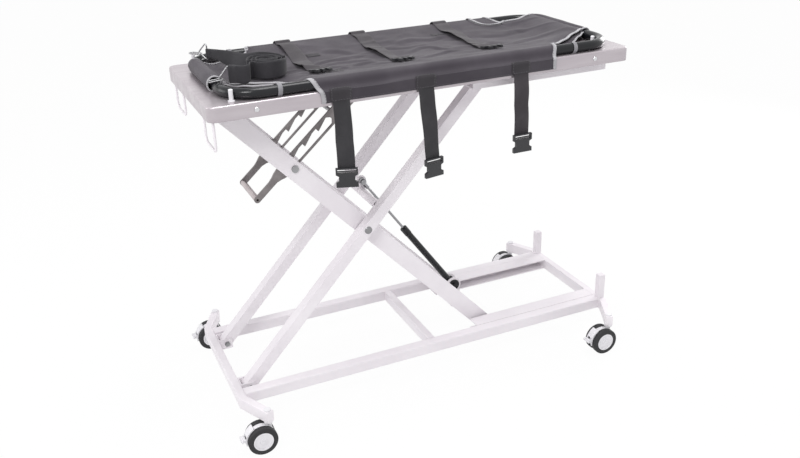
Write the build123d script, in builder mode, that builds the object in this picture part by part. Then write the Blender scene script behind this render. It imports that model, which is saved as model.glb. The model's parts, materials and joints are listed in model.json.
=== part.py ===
"""Veterinary transport trolley: scissor-lift table on casters with a lift-off stretcher."""
import os
from math import atan2, cos, degrees, hypot, radians, sin

from build123d import *

# Driving sizes, in millimetres and degrees
TABLE_LENGTH = 1100.0
TABLE_WIDTH = 436.0
TABLE_DROP = 45.5          # table top above the upper pivot line
SKIRT = 34.4
SHEET = 2.0
TABLE_CORNER = 20.0
BASE_OVER = 5.0            # base end beyond the table end
BASE_WIDTH = 362.0
RAIL = 30.0
BAR = 20.0
WALL = 2.0
REST_ANGLE = 46.7
LOW_ANGLE = 13.0
HEAD_INSET = 52.5          # head pivot from the table's left end
ROLL_INSET = 100.4         # upper roller from the table's right end at the lowest angle
LEG_EXTRA = 21.0           # lower half of a leg beyond its upper half
LEG_DEPTH = 30.0
OUTER_LEG = 28.0
INNER_LEG = 45.0
LEG_GAP = 4.0
RAIL_CLEAR = 16.0          # outer leg from the rail's inner face
WHEEL = 75.0
CASTER_HEIGHT = 80.0
CASTER_INSET = 50.0        # caster stem from the base end
CASTER_SPLAY = 91.0        # caster stem beyond the rail's outer face
TRAIL = 22.0
PEDAL_REACH = 52.0
ROLLER = 23.0
ROLLER_WIDE = 20.0
TRACK_WALL = 3.0
PLATE = 4.0                # bracket plates
PIN_R = 5.0                # foot and head pivots
CENTRE_R = 6.0             # centre pivot
BOLT_HEAD = 8.0
CENTRE_HEAD = 10.0
HEAD_TALL = 5.0
HEAD_RIM = 1.0             # straight edge below a bolt's dome
NUT_TALL = 4.0
THREAD_END = 1.5
TUBE = 25.0                # stretcher frame tube
TUBE_EDGE = 21.0           # frame tube's centre from the table's long edge
TUBE_LEFT = 52.5           # frame tube's centre from the table's left end
TUBE_RIGHT = 43.0          # frame tube's centre from the table's right end
STRAP = 42.0
STRAP_THICK = 2.2

# Clearances
RUN = 0.05                 # radial, shaft in hole
FREE = 0.4                 # between pieces on different joints

# Worked sizes
BASE_HALF = TABLE_LENGTH / 2 + BASE_OVER
CASTER_X = BASE_HALF - CASTER_INSET
CASTER_Y = BASE_WIDTH / 2 + CASTER_SPLAY
UPPER_HALF = (TABLE_LENGTH - HEAD_INSET - ROLL_INSET) / 2 / cos(radians(LOW_ANGLE))
LOWER_HALF = UPPER_HALF + LEG_EXTRA
LEFT_REACH = CASTER_X + TRAIL + PEDAL_REACH
MID_X = (LEFT_REACH - BASE_HALF) / 2
ANGLE = radians(REST_ANGLE)
RAIL_BOTTOM = CASTER_HEIGHT
RAIL_TOP = RAIL_BOTTOM + RAIL
PIVOT_Z = RAIL_BOTTOM + RAIL / 2
RAIL_Y = BASE_WIDTH / 2 - RAIL / 2
INNER_RAIL_Y = BASE_WIDTH / 2 - RAIL
OUTER_OUT = INNER_RAIL_Y - RAIL_CLEAR
OUTER_IN = OUTER_OUT - LEG_DEPTH
INNER_OUT = OUTER_IN - LEG_GAP
INNER_LEG_Y = INNER_OUT - LEG_DEPTH
A_DIR = Vector(cos(ANGLE), 0, sin(ANGLE))
A_NORMAL = Vector(-sin(ANGLE), 0, cos(ANGLE))
B_DIR = Vector(cos(ANGLE), 0, -sin(ANGLE))
B_NORMAL = Vector(sin(ANGLE), 0, cos(ANGLE))
FOOT_X = HEAD_INSET - TABLE_LENGTH / 2 - LEG_EXTRA * cos(ANGLE)
FOOT = Vector(MID_X + FOOT_X, 0, PIVOT_Z)
CENTRE = FOOT + A_DIR * LOWER_HALF
HEAD = CENTRE - B_DIR * UPPER_HALF
UPPER_ROLL = CENTRE + A_DIR * UPPER_HALF
LOWER_ROLL = CENTRE + B_DIR * LOWER_HALF
LEG_LENGTH = LOWER_HALF + UPPER_HALF
TABLE_TOP = HEAD.Z + TABLE_DROP
SKIRT_BOTTOM = TABLE_TOP - SKIRT
SHEET_UNDER = TABLE_TOP - SHEET
TABLE_HALF = TABLE_LENGTH / 2
TABLE_Y = TABLE_WIDTH / 2
STRETCHER_LEFT = TUBE_LEFT - TABLE_HALF
STRETCHER_RIGHT = TABLE_HALF - TUBE_RIGHT
STRETCHER_Y = TABLE_Y - TUBE_EDGE
SIDES = {"near": -1, "far": 1}
ENDS = {"left": -1, "right": 1}
SHAFT_ALIGN = (Align.CENTER, Align.CENTER, Align.MIN)


def side_plane(point, y, angle=0.0):
    """Plane square to Y through a point: local x climbs at an angle, extruding toward -Y."""
    turn = radians(angle)
    return Plane(origin=(point.X, y, point.Z), x_dir=(cos(turn), 0, sin(turn)), z_dir=(0, -1, 0))


def cross_plane(x, y, z):
    """Plane square to X: local x along +Y, local y along +Z, extruding toward +X."""
    return Plane(origin=(x, y, z), x_dir=(0, 1, 0), z_dir=(1, 0, 0))


def bar_y(point, radius, low, high, mode=Mode.ADD):
    """Round bar or hole along Y."""
    with Locations(side_plane(point, high)):
        Cylinder(radius, high - low, align=SHAFT_ALIGN, mode=mode)


def span(side, inner, outer):
    """Low and high Y of something between two distances from the middle plane."""
    return (inner, outer) if side > 0 else (-outer, -inner)


def dome_bolt(point, side, radius, head_radius, inner, outer):
    """Bolt along Y with a domed head on its outside and a hexagon nut on its inside."""
    low, high = span(side, inner - NUT_TALL - THREAD_END, outer)
    bar_y(point, radius, low, high)
    ball = (head_radius ** 2 + (HEAD_TALL - HEAD_RIM) ** 2) / 2 / (HEAD_TALL - HEAD_RIM)
    low, high = span(side, outer, outer + HEAD_TALL)
    with BuildPart() as dome:
        bar_y(point, head_radius, low, high)
        with Locations((point.X, side * (outer + HEAD_TALL - ball), point.Z)):
            Sphere(ball, mode=Mode.INTERSECT)
    add(dome.part)
    low, high = span(side, inner - NUT_TALL, inner)
    with BuildSketch(side_plane(point, high)) as nut:
        RegularPolygon(head_radius, 6)
    extrude(nut.sketch, amount=NUT_TALL)


def ribbon(points, width):
    """Corners of a mitred band of even width along a bent line in plan."""
    left = []
    right = []
    count = len(points)
    for i, (x, y) in enumerate(points):
        before = points[max(i - 1, 0)]
        after = points[min(i + 1, count - 1)]
        first = (x - before[0], y - before[1]) if i > 0 else (after[0] - x, after[1] - y)
        second = (after[0] - x, after[1] - y) if i < count - 1 else first
        a = atan2(first[1], first[0])
        b = atan2(second[1], second[0])
        reach = width / 2 / cos((b - a) / 2)
        normal = (a + b) / 2
        left.append((x - reach * sin(normal), y + reach * cos(normal)))
        right.append((x + reach * sin(normal), y - reach * cos(normal)))
    return left + right[::-1]


def save(part, node):
    """Label one node and write its file."""
    part.label = node
    export_step(part, f"parts/{node}.step")


os.makedirs("parts", exist_ok=True)

# Base: rails, end bars with splayed outriggers, middle crossbar
RAIL_END = BASE_HALF - BAR
for name, side in SIDES.items():
    with BuildPart() as base_rail:
        with BuildSketch(cross_plane(MID_X - RAIL_END, side * RAIL_Y, PIVOT_Z)):
            RectangleRounded(RAIL, RAIL, 3)
            Rectangle(RAIL - 2 * WALL, RAIL - 2 * WALL, mode=Mode.SUBTRACT)
        extrude(amount=2 * RAIL_END)
    save(base_rail.part, f"base_rail_{name}")

STEM_R = 5.5
SPLAY_START = 9.0          # outrigger's bend beyond the rail's outer face
TIP_REACH = 10.0           # outrigger's end beyond the stem
SPLAY_Y = BASE_WIDTH / 2 + SPLAY_START
BAR_X = BASE_HALF - BAR / 2
SPLAY_LENGTH = hypot(CASTER_X - BAR_X, CASTER_Y - SPLAY_Y)
SPLAY_DIR = ((CASTER_X - BAR_X) / SPLAY_LENGTH, (CASTER_Y - SPLAY_Y) / SPLAY_LENGTH)
TIP_X = CASTER_X + TIP_REACH * SPLAY_DIR[0]
TIP_Y = CASTER_Y + TIP_REACH * SPLAY_DIR[1]
PLUG_X = TIP_X - WALL * SPLAY_DIR[0]
PLUG_Y = TIP_Y - WALL * SPLAY_DIR[1]
for name, end in ENDS.items():
    bend = [(TIP_X, -TIP_Y), (BAR_X, -SPLAY_Y), (BAR_X, SPLAY_Y), (TIP_X, TIP_Y)]
    line = [(MID_X + end * x, y) for x, y in bend]
    plugged = [(PLUG_X, -PLUG_Y), *bend[1:3], (PLUG_X, PLUG_Y)]
    bore = [(MID_X + end * x, y) for x, y in plugged]
    with BuildPart() as end_bar:
        with BuildSketch(Plane.XY.offset(RAIL_BOTTOM)):
            Polygon(*ribbon(line, BAR), align=None)
        extrude(amount=RAIL)
        fillet(end_bar.edges().group_by(Axis.Z)[-1], 2)
        with BuildSketch(Plane.XY.offset(RAIL_BOTTOM + WALL)):
            Polygon(*ribbon(bore, BAR - 2 * WALL), align=None)
        extrude(amount=RAIL - 2 * WALL, mode=Mode.SUBTRACT)
        with Locations(*[(MID_X + end * CASTER_X, y, RAIL_BOTTOM) for y in (-CASTER_Y, CASTER_Y)]):
            Cylinder(STEM_R + RUN, RAIL, align=SHAFT_ALIGN, mode=Mode.SUBTRACT)
    save(end_bar.part, f"end_bar_{name}")

with BuildPart() as middle_crossbar:
    with BuildSketch(Plane(origin=(MID_X, INNER_RAIL_Y, PIVOT_Z), x_dir=(1, 0, 0), z_dir=(0, -1, 0))):
        RectangleRounded(BAR, RAIL, 2)
        Rectangle(BAR - 2 * WALL, RAIL - 2 * WALL, mode=Mode.SUBTRACT)
    extrude(amount=2 * INNER_RAIL_Y)
save(middle_crossbar.part, "middle_crossbar")

# Lower roller tracks, open toward the middle
TRACK_LIP = 5.0            # track's open edge from the leg's inner face
TRACK_START = 40.0         # track behind the roller at rest
TRACK_IN = OUTER_IN + TRACK_LIP
LOWER_TRACK_START = LOWER_ROLL.X - TRACK_START
LOWER_TRACK_END = MID_X + RAIL_END
with BuildPart() as lower_tracks:
    for side in SIDES.values():
        low, high = span(side, TRACK_IN, INNER_RAIL_Y)
        inner_low, inner_high = span(side, TRACK_IN - 1, INNER_RAIL_Y - TRACK_WALL)
        with BuildSketch(cross_plane(LOWER_TRACK_START, 0, PIVOT_Z)):
            with Locations(((low + high) / 2, 0)):
                Rectangle(high - low, RAIL)
            with Locations(((inner_low + inner_high) / 2, 0)):
                Rectangle(inner_high - inner_low, RAIL - 2 * TRACK_WALL, mode=Mode.SUBTRACT)
        extrude(amount=LOWER_TRACK_END - LOWER_TRACK_START)
save(lower_tracks.part, "lower_tracks")

# End posts with their caps
POST_TALL = 70.0
POST_WALL = 1.5
POST_INSET = 0.5
CAP_TALL = 5.0
POST_TOP = RAIL_TOP + POST_TALL
POST_Y = BASE_WIDTH / 2 - BAR / 2 - POST_INSET
with BuildPart() as end_posts:
    for side in SIDES.values():
        with BuildSketch(Plane(origin=(MID_X + BAR_X, side * POST_Y, RAIL_TOP))):
            RectangleRounded(BAR, BAR, 2)
            Rectangle(BAR - 2 * POST_WALL, BAR - 2 * POST_WALL, mode=Mode.SUBTRACT)
        extrude(amount=POST_TOP - RAIL_TOP)
        with BuildSketch(Plane(origin=(MID_X + BAR_X, side * POST_Y, POST_TOP))):
            RectangleRounded(BAR, BAR, 2)
        extrude(amount=CAP_TALL)
    fillet(end_posts.faces().sort_by(Axis.Z)[-2:].edges(), 1.8)
save(end_posts.part, "end_posts")

# Foot brackets: a cheek each side of each outer leg, joined by a web on the end bar
FOOT_WEB = 2.5
CHEEK_CORNER = 3.0
CHEEK_IN = OUTER_IN - FREE - PLATE
CHEEK_OUT = OUTER_OUT + FREE + PLATE
WEB_X = MID_X - RAIL_END
CHEEK_LONG = FOOT.X + RAIL / 2 - WEB_X
with BuildPart() as foot_brackets:
    for side in SIDES.values():
        for inner, outer in ((CHEEK_IN, CHEEK_IN + PLATE), (CHEEK_OUT - PLATE, CHEEK_OUT)):
            low, high = span(side, inner, outer)
            with BuildSketch(side_plane(FOOT, high)):
                with Locations(((RAIL - CHEEK_LONG) / 2, 0)):
                    RectangleRounded(CHEEK_LONG, RAIL, CHEEK_CORNER)
                Circle(PIN_R, mode=Mode.SUBTRACT)
            extrude(amount=PLATE)
        low, high = span(side, CHEEK_IN, CHEEK_OUT)
        with Locations((WEB_X, low, RAIL_BOTTOM)):
            Box(FOOT_WEB, high - low, RAIL, align=(Align.MIN, Align.MIN, Align.MIN))
save(foot_brackets.part, "foot_brackets")
with BuildPart() as foot_bolts:
    for side in SIDES.values():
        dome_bolt(FOOT, side, PIN_R, BOLT_HEAD, CHEEK_IN, CHEEK_OUT)
save(foot_bolts.part, "foot_bolts")

# Casters: twin wheels either side of a narrow body, all trailing the same way
WHEEL_R = WHEEL / 2
AXLE_R = 4.0
HUB_R = 25.0
WEB_HALF = 6.5             # body between the wheels
CROWN_R = 35.5             # body's top from the axle
CROWN_LOW = -8.0           # body's lower edge from the axle
GUARD_R = 41.7             # rear guard around the tyres
GUARD_IN = 38.2
GUARD_HALF = 12.0
GUARD_TOP = 118.0          # guard's ends, in degrees from the front
GUARD_LOW = 158.0
EAR_LOW = 190.0
WHEEL_IN = 7.0
WHEEL_OUT = 23.0
HUB_BOSS = 9.0
HUB_RIM = 4.0
HUB_DISH = 2.0
TYRE_ROUND = 3.0
AXLE_BOSS = 12.0
AXLE_END = 1.5
NECK_R = 6.5
STEM_FOOT = 4.0            # neck's lower end above the axle
FLANGE_R = 11.0
FLANGE_TALL = 4.0
STEM_CLIP_R = 9.0
STEM_CLIP = 3.0
PEDAL_PIN = (-42.5, 7.0)
PIN_BAR = 2.0
EAR_R = 3.6
EAR_IN = 9.0
PEDAL_BOSS = 3.6
PEDAL_NECK = 5.0
PEDAL_NECK_TALL = 4.0
PEDAL_WIDE = 26.0
PEDAL_TALL = 5.0
PEDAL_ROUND = 2.0
PEDAL_START = 4.0


def wedge(first, last):
    """Triangle from the axle outward between two directions, wider than the guard."""
    reach = 2 * GUARD_R
    return [(0.0, 0.0)] + [(reach * cos(radians(turn)), reach * sin(radians(turn)))
                           for turn in (first, (first + last) / 2, last)]


def guard_arc(plane, inner, first, last, thick):
    """Part of a ring around the axle."""
    with BuildSketch(plane) as arc:
        Circle(GUARD_R)
        Circle(inner, mode=Mode.SUBTRACT)
        Polygon(*wedge(first, last), align=None, mode=Mode.INTERSECT)
    extrude(arc.sketch, amount=thick)


for end_name, end in ENDS.items():
    for side_name, side in SIDES.items():
        stem = Vector(MID_X + end * CASTER_X, side * CASTER_Y, 0)
        axle = Vector(stem.X - TRAIL, 0, WHEEL_R)
        pin = axle + Vector(PEDAL_PIN[0], 0, PEDAL_PIN[1])
        body_top = CASTER_HEIGHT - FREE
        with BuildPart() as hood:
            with BuildSketch(side_plane(axle, stem.Y + WEB_HALF)):
                Circle(CROWN_R)
                with Locations((0, CROWN_LOW)):
                    Rectangle(2 * GUARD_R, 2 * GUARD_R, align=(Align.CENTER, Align.MAX),
                              mode=Mode.SUBTRACT)
                Circle(AXLE_BOSS)
            extrude(amount=2 * WEB_HALF)
            guard_arc(side_plane(axle, stem.Y + WEB_HALF), AXLE_BOSS, GUARD_TOP, GUARD_LOW, 2 * WEB_HALF)
            guard_arc(side_plane(axle, stem.Y + GUARD_HALF), GUARD_IN, GUARD_TOP, GUARD_LOW, 2 * GUARD_HALF)
            for low, high in ((EAR_IN, GUARD_HALF), (-GUARD_HALF, -EAR_IN)):
                guard_arc(side_plane(axle, stem.Y + high), GUARD_IN, GUARD_TOP, EAR_LOW, high - low)
                bar_y(pin, EAR_R, stem.Y + low, stem.Y + high)
            bar_y(pin, PIN_BAR, stem.Y - EAR_IN, stem.Y + EAR_IN)
            bar_y(axle, AXLE_R, stem.Y - WHEEL_OUT - AXLE_END, stem.Y + WHEEL_OUT + AXLE_END)
            with Locations((stem.X, stem.Y, WHEEL_R + STEM_FOOT)):
                Cylinder(NECK_R, body_top - WHEEL_R - STEM_FOOT, align=SHAFT_ALIGN)
            with Locations((stem.X, stem.Y, body_top - FLANGE_TALL)):
                Cylinder(FLANGE_R, FLANGE_TALL, align=SHAFT_ALIGN)
            with Locations((stem.X, stem.Y, body_top)):
                Cylinder(STEM_R, RAIL + 2 * FREE, align=SHAFT_ALIGN)
            with Locations((stem.X, stem.Y, RAIL_TOP + FREE)):
                Cylinder(STEM_CLIP_R, STEM_CLIP, align=SHAFT_ALIGN)
        save(hood.part, f"caster_{side_name}_{end_name}_hood")
        with BuildPart() as hubs:
            for low, high in ((WHEEL_IN, WHEEL_OUT), (-WHEEL_OUT, -WHEEL_IN)):
                bar_y(axle, HUB_R, stem.Y + low, stem.Y + high)
            for low, high in ((WHEEL_OUT - HUB_DISH, WHEEL_OUT), (-WHEEL_OUT, -WHEEL_OUT + HUB_DISH)):
                bar_y(axle, HUB_R - HUB_RIM, stem.Y + low, stem.Y + high, Mode.SUBTRACT)
                bar_y(axle, HUB_BOSS, stem.Y + low, stem.Y + high)
            bar_y(axle, AXLE_R + RUN, stem.Y - WHEEL_OUT, stem.Y + WHEEL_OUT, Mode.SUBTRACT)
        save(hubs.part, f"caster_{side_name}_{end_name}_hubs")
        with BuildPart() as tyres:
            for low, high in ((WHEEL_IN, WHEEL_OUT), (-WHEEL_OUT, -WHEEL_IN)):
                bar_y(axle, WHEEL_R, stem.Y + low, stem.Y + high)
            fillet(tyres.edges().filter_by(GeomType.CIRCLE), TYRE_ROUND)
            bar_y(axle, HUB_R, stem.Y - WHEEL_OUT, stem.Y + WHEEL_OUT, Mode.SUBTRACT)
        save(tyres.part, f"caster_{side_name}_{end_name}_tyres")
        with BuildPart() as pedal:
            bar_y(pin, PEDAL_BOSS, stem.Y - EAR_IN + FREE, stem.Y + EAR_IN - FREE)
            with Locations((pin.X, stem.Y, pin.Z)):
                Box(PEDAL_NECK, 2 * (EAR_IN - FREE), PEDAL_NECK_TALL,
                    align=(Align.MAX, Align.CENTER, Align.CENTER))
            with BuildSketch(Plane(origin=(axle.X - PEDAL_REACH, stem.Y, pin.Z - PEDAL_TALL / 2))):
                with Locations(((PEDAL_REACH + PEDAL_PIN[0] - PEDAL_START) / 2, 0)):
                    RectangleRounded(PEDAL_REACH + PEDAL_PIN[0] - PEDAL_START, PEDAL_WIDE, PEDAL_ROUND)
            extrude(amount=PEDAL_TALL)
            bar_y(pin, PIN_BAR + RUN, stem.Y - EAR_IN, stem.Y + EAR_IN, Mode.SUBTRACT)
        save(pedal.part, f"caster_{side_name}_{end_name}_pedal")

# Legs: rectangular tubes with rounded cheeks, bored for their pivots
OVERHANG = 14.0
LEG_END = 10.0
STUB = 5.0
ROD_R = 4.5
LOCK_ALONG = 235.0         # lock rod from the head pivot along the inner leg
LOCK_OFFSET = 4.0
LOCK = HEAD + B_DIR * LOCK_ALONG + B_NORMAL * LOCK_OFFSET
ROLLER_OFF = 9.0           # roller from the face of the leg it stands beside
ROLLER_IN = OUTER_IN + ROLLER_OFF
UPPER_ROLLER_IN = OUTER_OUT + ROLLER_OFF
STUB_END = 1.0


def leg(start, angle, side, inner, width, holes):
    """Leg tube from its first pivot; holes are (along, across, radius) from there."""
    low, high = span(side, inner, inner + LEG_DEPTH)
    with BuildPart() as tube:
        with BuildSketch(side_plane(start, high, angle)):
            with Locations((LEG_LENGTH / 2, 0)):
                RectangleRounded(LEG_LENGTH + 2 * OVERHANG, width, LEG_END)
        extrude(amount=LEG_DEPTH)
        with BuildSketch(side_plane(start, high - WALL, angle)):
            with Locations((LEG_LENGTH / 2, 0)):
                Rectangle(LEG_LENGTH + 4 * OVERHANG, width - 2 * WALL)
        extrude(amount=LEG_DEPTH - 2 * WALL, mode=Mode.SUBTRACT)
        with BuildSketch(side_plane(start, high, angle)):
            for along, across, radius in holes:
                with Locations((along, across)):
                    Circle(radius)
        extrude(amount=LEG_DEPTH, mode=Mode.SUBTRACT)
    return tube.part


for name, side in SIDES.items():
    with BuildPart() as leg_a:
        add(leg(FOOT, REST_ANGLE, side, OUTER_IN, OUTER_LEG,
                [(0, 0, PIN_R + RUN), (LOWER_HALF, 0, CENTRE_R)]))
        low, high = span(side, OUTER_OUT - WALL, UPPER_ROLLER_IN + ROLLER_WIDE + STUB_END)
        bar_y(UPPER_ROLL, STUB, low, high)
    save(leg_a.part, f"leg_a_{name}")
    with BuildPart() as leg_b:
        add(leg(HEAD, -REST_ANGLE, side, INNER_LEG_Y, INNER_LEG,
                [(0, 0, PIN_R + RUN), (UPPER_HALF, 0, CENTRE_R + RUN),
                 (LOCK_ALONG, LOCK_OFFSET, ROD_R + RUN)]))
        low, high = span(side, INNER_OUT - WALL, ROLLER_IN + ROLLER_WIDE + STUB_END)
        bar_y(LOWER_ROLL, STUB, low, high)
    save(leg_b.part, f"leg_b_{name}")

with BuildPart() as upper_rollers:
    for side in SIDES.values():
        low, high = span(side, UPPER_ROLLER_IN, UPPER_ROLLER_IN + ROLLER_WIDE)
        bar_y(UPPER_ROLL, ROLLER / 2, low, high)
        bar_y(UPPER_ROLL, STUB + RUN, low, high, Mode.SUBTRACT)
save(upper_rollers.part, "upper_rollers")
with BuildPart() as lower_rollers:
    for side in SIDES.values():
        low, high = span(side, ROLLER_IN, ROLLER_IN + ROLLER_WIDE)
        bar_y(LOWER_ROLL, ROLLER / 2, low, high)
        bar_y(LOWER_ROLL, STUB + RUN, low, high, Mode.SUBTRACT)
save(lower_rollers.part, "lower_rollers")

# Outer legs' cross tube with the lug that carries the gas spring
CROSS_R = 11.0
EYE_HALF = 6.0
SPRING_R = 4.0
SPRING_HEAD = 7.0
CROSS_A_ALONG = 64.0       # cross tube from the centre pivot
CROSS_A_UP = 7.0
SPRING_TOP_ALONG = 87.0
SPRING_TOP_UP = 24.0
LUG_A = 6.0
LUG_A_R = 13.0
CENTRE_WASHER = 12.0
CROSS_A = CENTRE + A_DIR * CROSS_A_ALONG + A_NORMAL * CROSS_A_UP
SPRING_TOP = CENTRE + A_DIR * SPRING_TOP_ALONG + A_NORMAL * SPRING_TOP_UP
with BuildPart() as cross_tube_a:
    bar_y(CROSS_A, CROSS_R, -OUTER_IN, OUTER_IN)
    lug_vector = SPRING_TOP - CROSS_A
    lug_angle = degrees(atan2(lug_vector.Z, lug_vector.X))
    with BuildSketch(side_plane(CROSS_A, EYE_HALF + FREE + LUG_A, lug_angle)):
        with Locations((lug_vector.length / 2, 0)):
            Rectangle(lug_vector.length, 2 * LUG_A_R)
        with Locations((lug_vector.length, 0)):
            Circle(LUG_A_R)
    extrude(amount=LUG_A)
    bar_y(CROSS_A, CROSS_R - WALL, -OUTER_IN, OUTER_IN, Mode.SUBTRACT)
    bar_y(SPRING_TOP, SPRING_R, EYE_HALF, EYE_HALF + FREE + LUG_A + 1, Mode.SUBTRACT)
save(cross_tube_a.part, "cross_tube_a")
with BuildPart() as leg_a_bolts:
    for side in SIDES.values():
        dome_bolt(CENTRE, side, CENTRE_R, CENTRE_HEAD, INNER_LEG_Y - FREE, OUTER_OUT)
        low, high = span(side, INNER_OUT + FREE, OUTER_IN)
        bar_y(CENTRE, CENTRE_WASHER, low, high)
    bar_y(SPRING_TOP, SPRING_R, -EYE_HALF - FREE - HEAD_TALL, EYE_HALF + FREE + LUG_A + HEAD_TALL)
    bar_y(SPRING_TOP, SPRING_HEAD, -EYE_HALF - FREE - HEAD_TALL, -EYE_HALF - FREE)
    bar_y(SPRING_TOP, SPRING_HEAD, EYE_HALF + FREE + LUG_A, EYE_HALF + FREE + LUG_A + HEAD_TALL)
save(leg_a_bolts.part, "leg_a_bolts")

# Inner legs' cross tube with two lugs for the gas spring's foot
FOOT_PLAY = 11.2           # free play of the spring foot in its lugs
FOOT_HALF = 12.0           # half width of the spring's foot barrel
LUG_PLATE = 5.0
LUG_WALL = 7.0
SPRING_FOOT_ALONG = 417.0  # spring foot from the centre pivot
SPRING_FOOT_UP = 24.0
CROSS_B_DOWN = 15.0
LUG_TALL = SPRING_FOOT_UP + CROSS_B_DOWN
SPRING_FOOT = CENTRE + B_DIR * SPRING_FOOT_ALONG + B_NORMAL * SPRING_FOOT_UP
CROSS_B = CENTRE + B_DIR * SPRING_FOOT_ALONG - B_NORMAL * CROSS_B_DOWN
LUG_HOLE = SPRING_R + FOOT_PLAY
with BuildPart() as cross_tube_b:
    bar_y(CROSS_B, CROSS_R, -INNER_LEG_Y, INNER_LEG_Y)
    for side in SIDES.values():
        low, high = span(side, FOOT_HALF + FREE, FOOT_HALF + FREE + LUG_PLATE)
        with BuildSketch(side_plane(CROSS_B, high, 90 - REST_ANGLE)):
            with Locations((LUG_TALL / 2, 0)):
                Rectangle(LUG_TALL, 2 * (LUG_HOLE + LUG_WALL))
            with Locations((LUG_TALL, 0)):
                Circle(LUG_HOLE + LUG_WALL)
        extrude(amount=LUG_PLATE)
    bar_y(CROSS_B, CROSS_R - WALL, -INNER_LEG_Y, INNER_LEG_Y, Mode.SUBTRACT)
    bar_y(SPRING_FOOT, LUG_HOLE, -FOOT_HALF - 2 * LUG_PLATE, FOOT_HALF + 2 * LUG_PLATE, Mode.SUBTRACT)
save(cross_tube_b.part, "cross_tube_b")

# Gas spring: rod with an eye on the outer legs, cylinder over it
SPRING_LINE = SPRING_FOOT - SPRING_TOP
SPRING_ANGLE = degrees(atan2(SPRING_LINE.Z, SPRING_LINE.X))
SPRING_LENGTH = SPRING_LINE.length
SPRING_UNIT = SPRING_LINE.normalized()
ROD_SHOWN = 197.0
ROD_INSIDE = 110.0         # rod within the cylinder at rest
PISTON_ROD = 3.5
EYE_R = 9.0
FERRULE_R = 5.5
FERRULE_END = 26.0
CYLINDER_R = 9.0
CYLINDER_END = 18.0        # cylinder's closed end from the foot bolt
COLLAR = 1.2               # gland collar beyond the cylinder
COLLAR_LONG = 26.0
FOOT_STEM = 6.0


def spring_plane(along):
    """Plane square to the gas spring at a distance from its upper bolt."""
    return Plane(origin=SPRING_TOP + SPRING_UNIT * along, x_dir=(0, 1, 0), z_dir=SPRING_UNIT)


with BuildPart() as spring_rod:
    bar_y(SPRING_TOP, EYE_R, -EYE_HALF, EYE_HALF)
    with Locations(spring_plane(EYE_R / 2)):
        Cylinder(FERRULE_R, FERRULE_END - EYE_R / 2, align=SHAFT_ALIGN)
    with Locations(spring_plane(FERRULE_END / 2)):
        Cylinder(PISTON_ROD, ROD_SHOWN + ROD_INSIDE - FERRULE_END / 2, align=SHAFT_ALIGN)
    bar_y(SPRING_TOP, SPRING_R + RUN, -EYE_HALF, EYE_HALF, Mode.SUBTRACT)
save(spring_rod.part, "spring_rod")
with BuildPart() as spring_cylinder:
    with Locations(spring_plane(ROD_SHOWN)):
        Cylinder(CYLINDER_R, SPRING_LENGTH - ROD_SHOWN - CYLINDER_END, align=SHAFT_ALIGN)
        Cylinder(CYLINDER_R + COLLAR, COLLAR_LONG, align=SHAFT_ALIGN)
    collar_edges = spring_cylinder.edges().filter_by(GeomType.CIRCLE).group_by(SortBy.RADIUS)[-1]
    fillet(collar_edges, COLLAR * 0.8)
    with Locations(spring_plane(SPRING_LENGTH - CYLINDER_END - 2)):
        Cylinder(FOOT_STEM, CYLINDER_END - 2, align=SHAFT_ALIGN)
    bar_y(SPRING_FOOT, EYE_R, -FOOT_HALF, FOOT_HALF)
    bar_y(SPRING_FOOT, SPRING_R, -FOOT_HALF, FOOT_HALF, Mode.SUBTRACT)
    with Locations(spring_plane(ROD_SHOWN - 1)):
        Cylinder(PISTON_ROD + RUN, SPRING_LENGTH - ROD_SHOWN - CYLINDER_END - WALL, align=SHAFT_ALIGN,
                 mode=Mode.SUBTRACT)
save(spring_cylinder.part, "spring_cylinder")
WASHER = 2.0
WASHER_OVER = 1.5          # washer beyond the lug hole
WASHER_IN = FOOT_HALF + 2 * FREE + LUG_PLATE
with BuildPart() as spring_foot_bolt:
    bar_y(SPRING_FOOT, SPRING_R, -WASHER_IN - WASHER - NUT_TALL, WASHER_IN + WASHER + NUT_TALL)
    for side in SIDES.values():
        low, high = span(side, WASHER_IN, WASHER_IN + WASHER)
        bar_y(SPRING_FOOT, LUG_HOLE + WASHER_OVER, low, high)
        low, high = span(side, WASHER_IN + WASHER, WASHER_IN + WASHER + NUT_TALL)
        bar_y(SPRING_FOOT, SPRING_HEAD, low, high)
save(spring_foot_bolt.part, "spring_foot_bolt")

# Lock rod through the inner legs
LOCK_HEAD = 9.0
LOCK_CAP = 3.0
with BuildPart() as lock_rod:
    bar_y(LOCK, ROD_R, -INNER_OUT - FREE - LOCK_CAP, INNER_OUT + FREE + LOCK_CAP)
    for side in SIDES.values():
        low, high = span(side, INNER_OUT + FREE, INNER_OUT + FREE + LOCK_CAP)
        bar_y(LOCK, LOCK_HEAD, low, high)
save(lock_rod.part, "lock_rod")

# Toothed rack: two plates, local x from the handle toward the upper pivot, local y square to it
RACK_ANGLE = 41.3
RACK_CLEAR = 7.0           # rack plate's inner face from the inner leg
RACK_IN = INNER_LEG_Y - RACK_CLEAR
RACK_PLATE = 5.0
RACK_LOCK = (118.5, -4.0)  # lock rod's place in the rack
RACK_DIR = Vector(cos(radians(RACK_ANGLE)), 0, sin(radians(RACK_ANGLE)))
RACK_NORMAL = Vector(-sin(radians(RACK_ANGLE)), 0, cos(radians(RACK_ANGLE)))
HANDLE = LOCK - RACK_DIR * RACK_LOCK[0] - RACK_NORMAL * RACK_LOCK[1]
RACK_LENGTH = (HEAD.Z - HANDLE.Z) / RACK_DIR.Z
RACK_PIVOT = HANDLE + RACK_DIR * RACK_LENGTH
RACK_PLAY = 13.6           # free play of the rack's pivot on its hanger rod
PIVOT_BORE = PIN_R + RACK_PLAY
PIVOT_WALL = 4.0
EYE_WALL = 6.0             # rack plate around its pivot bore
PIVOT_TUBE = PIVOT_BORE + PIVOT_WALL
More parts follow.
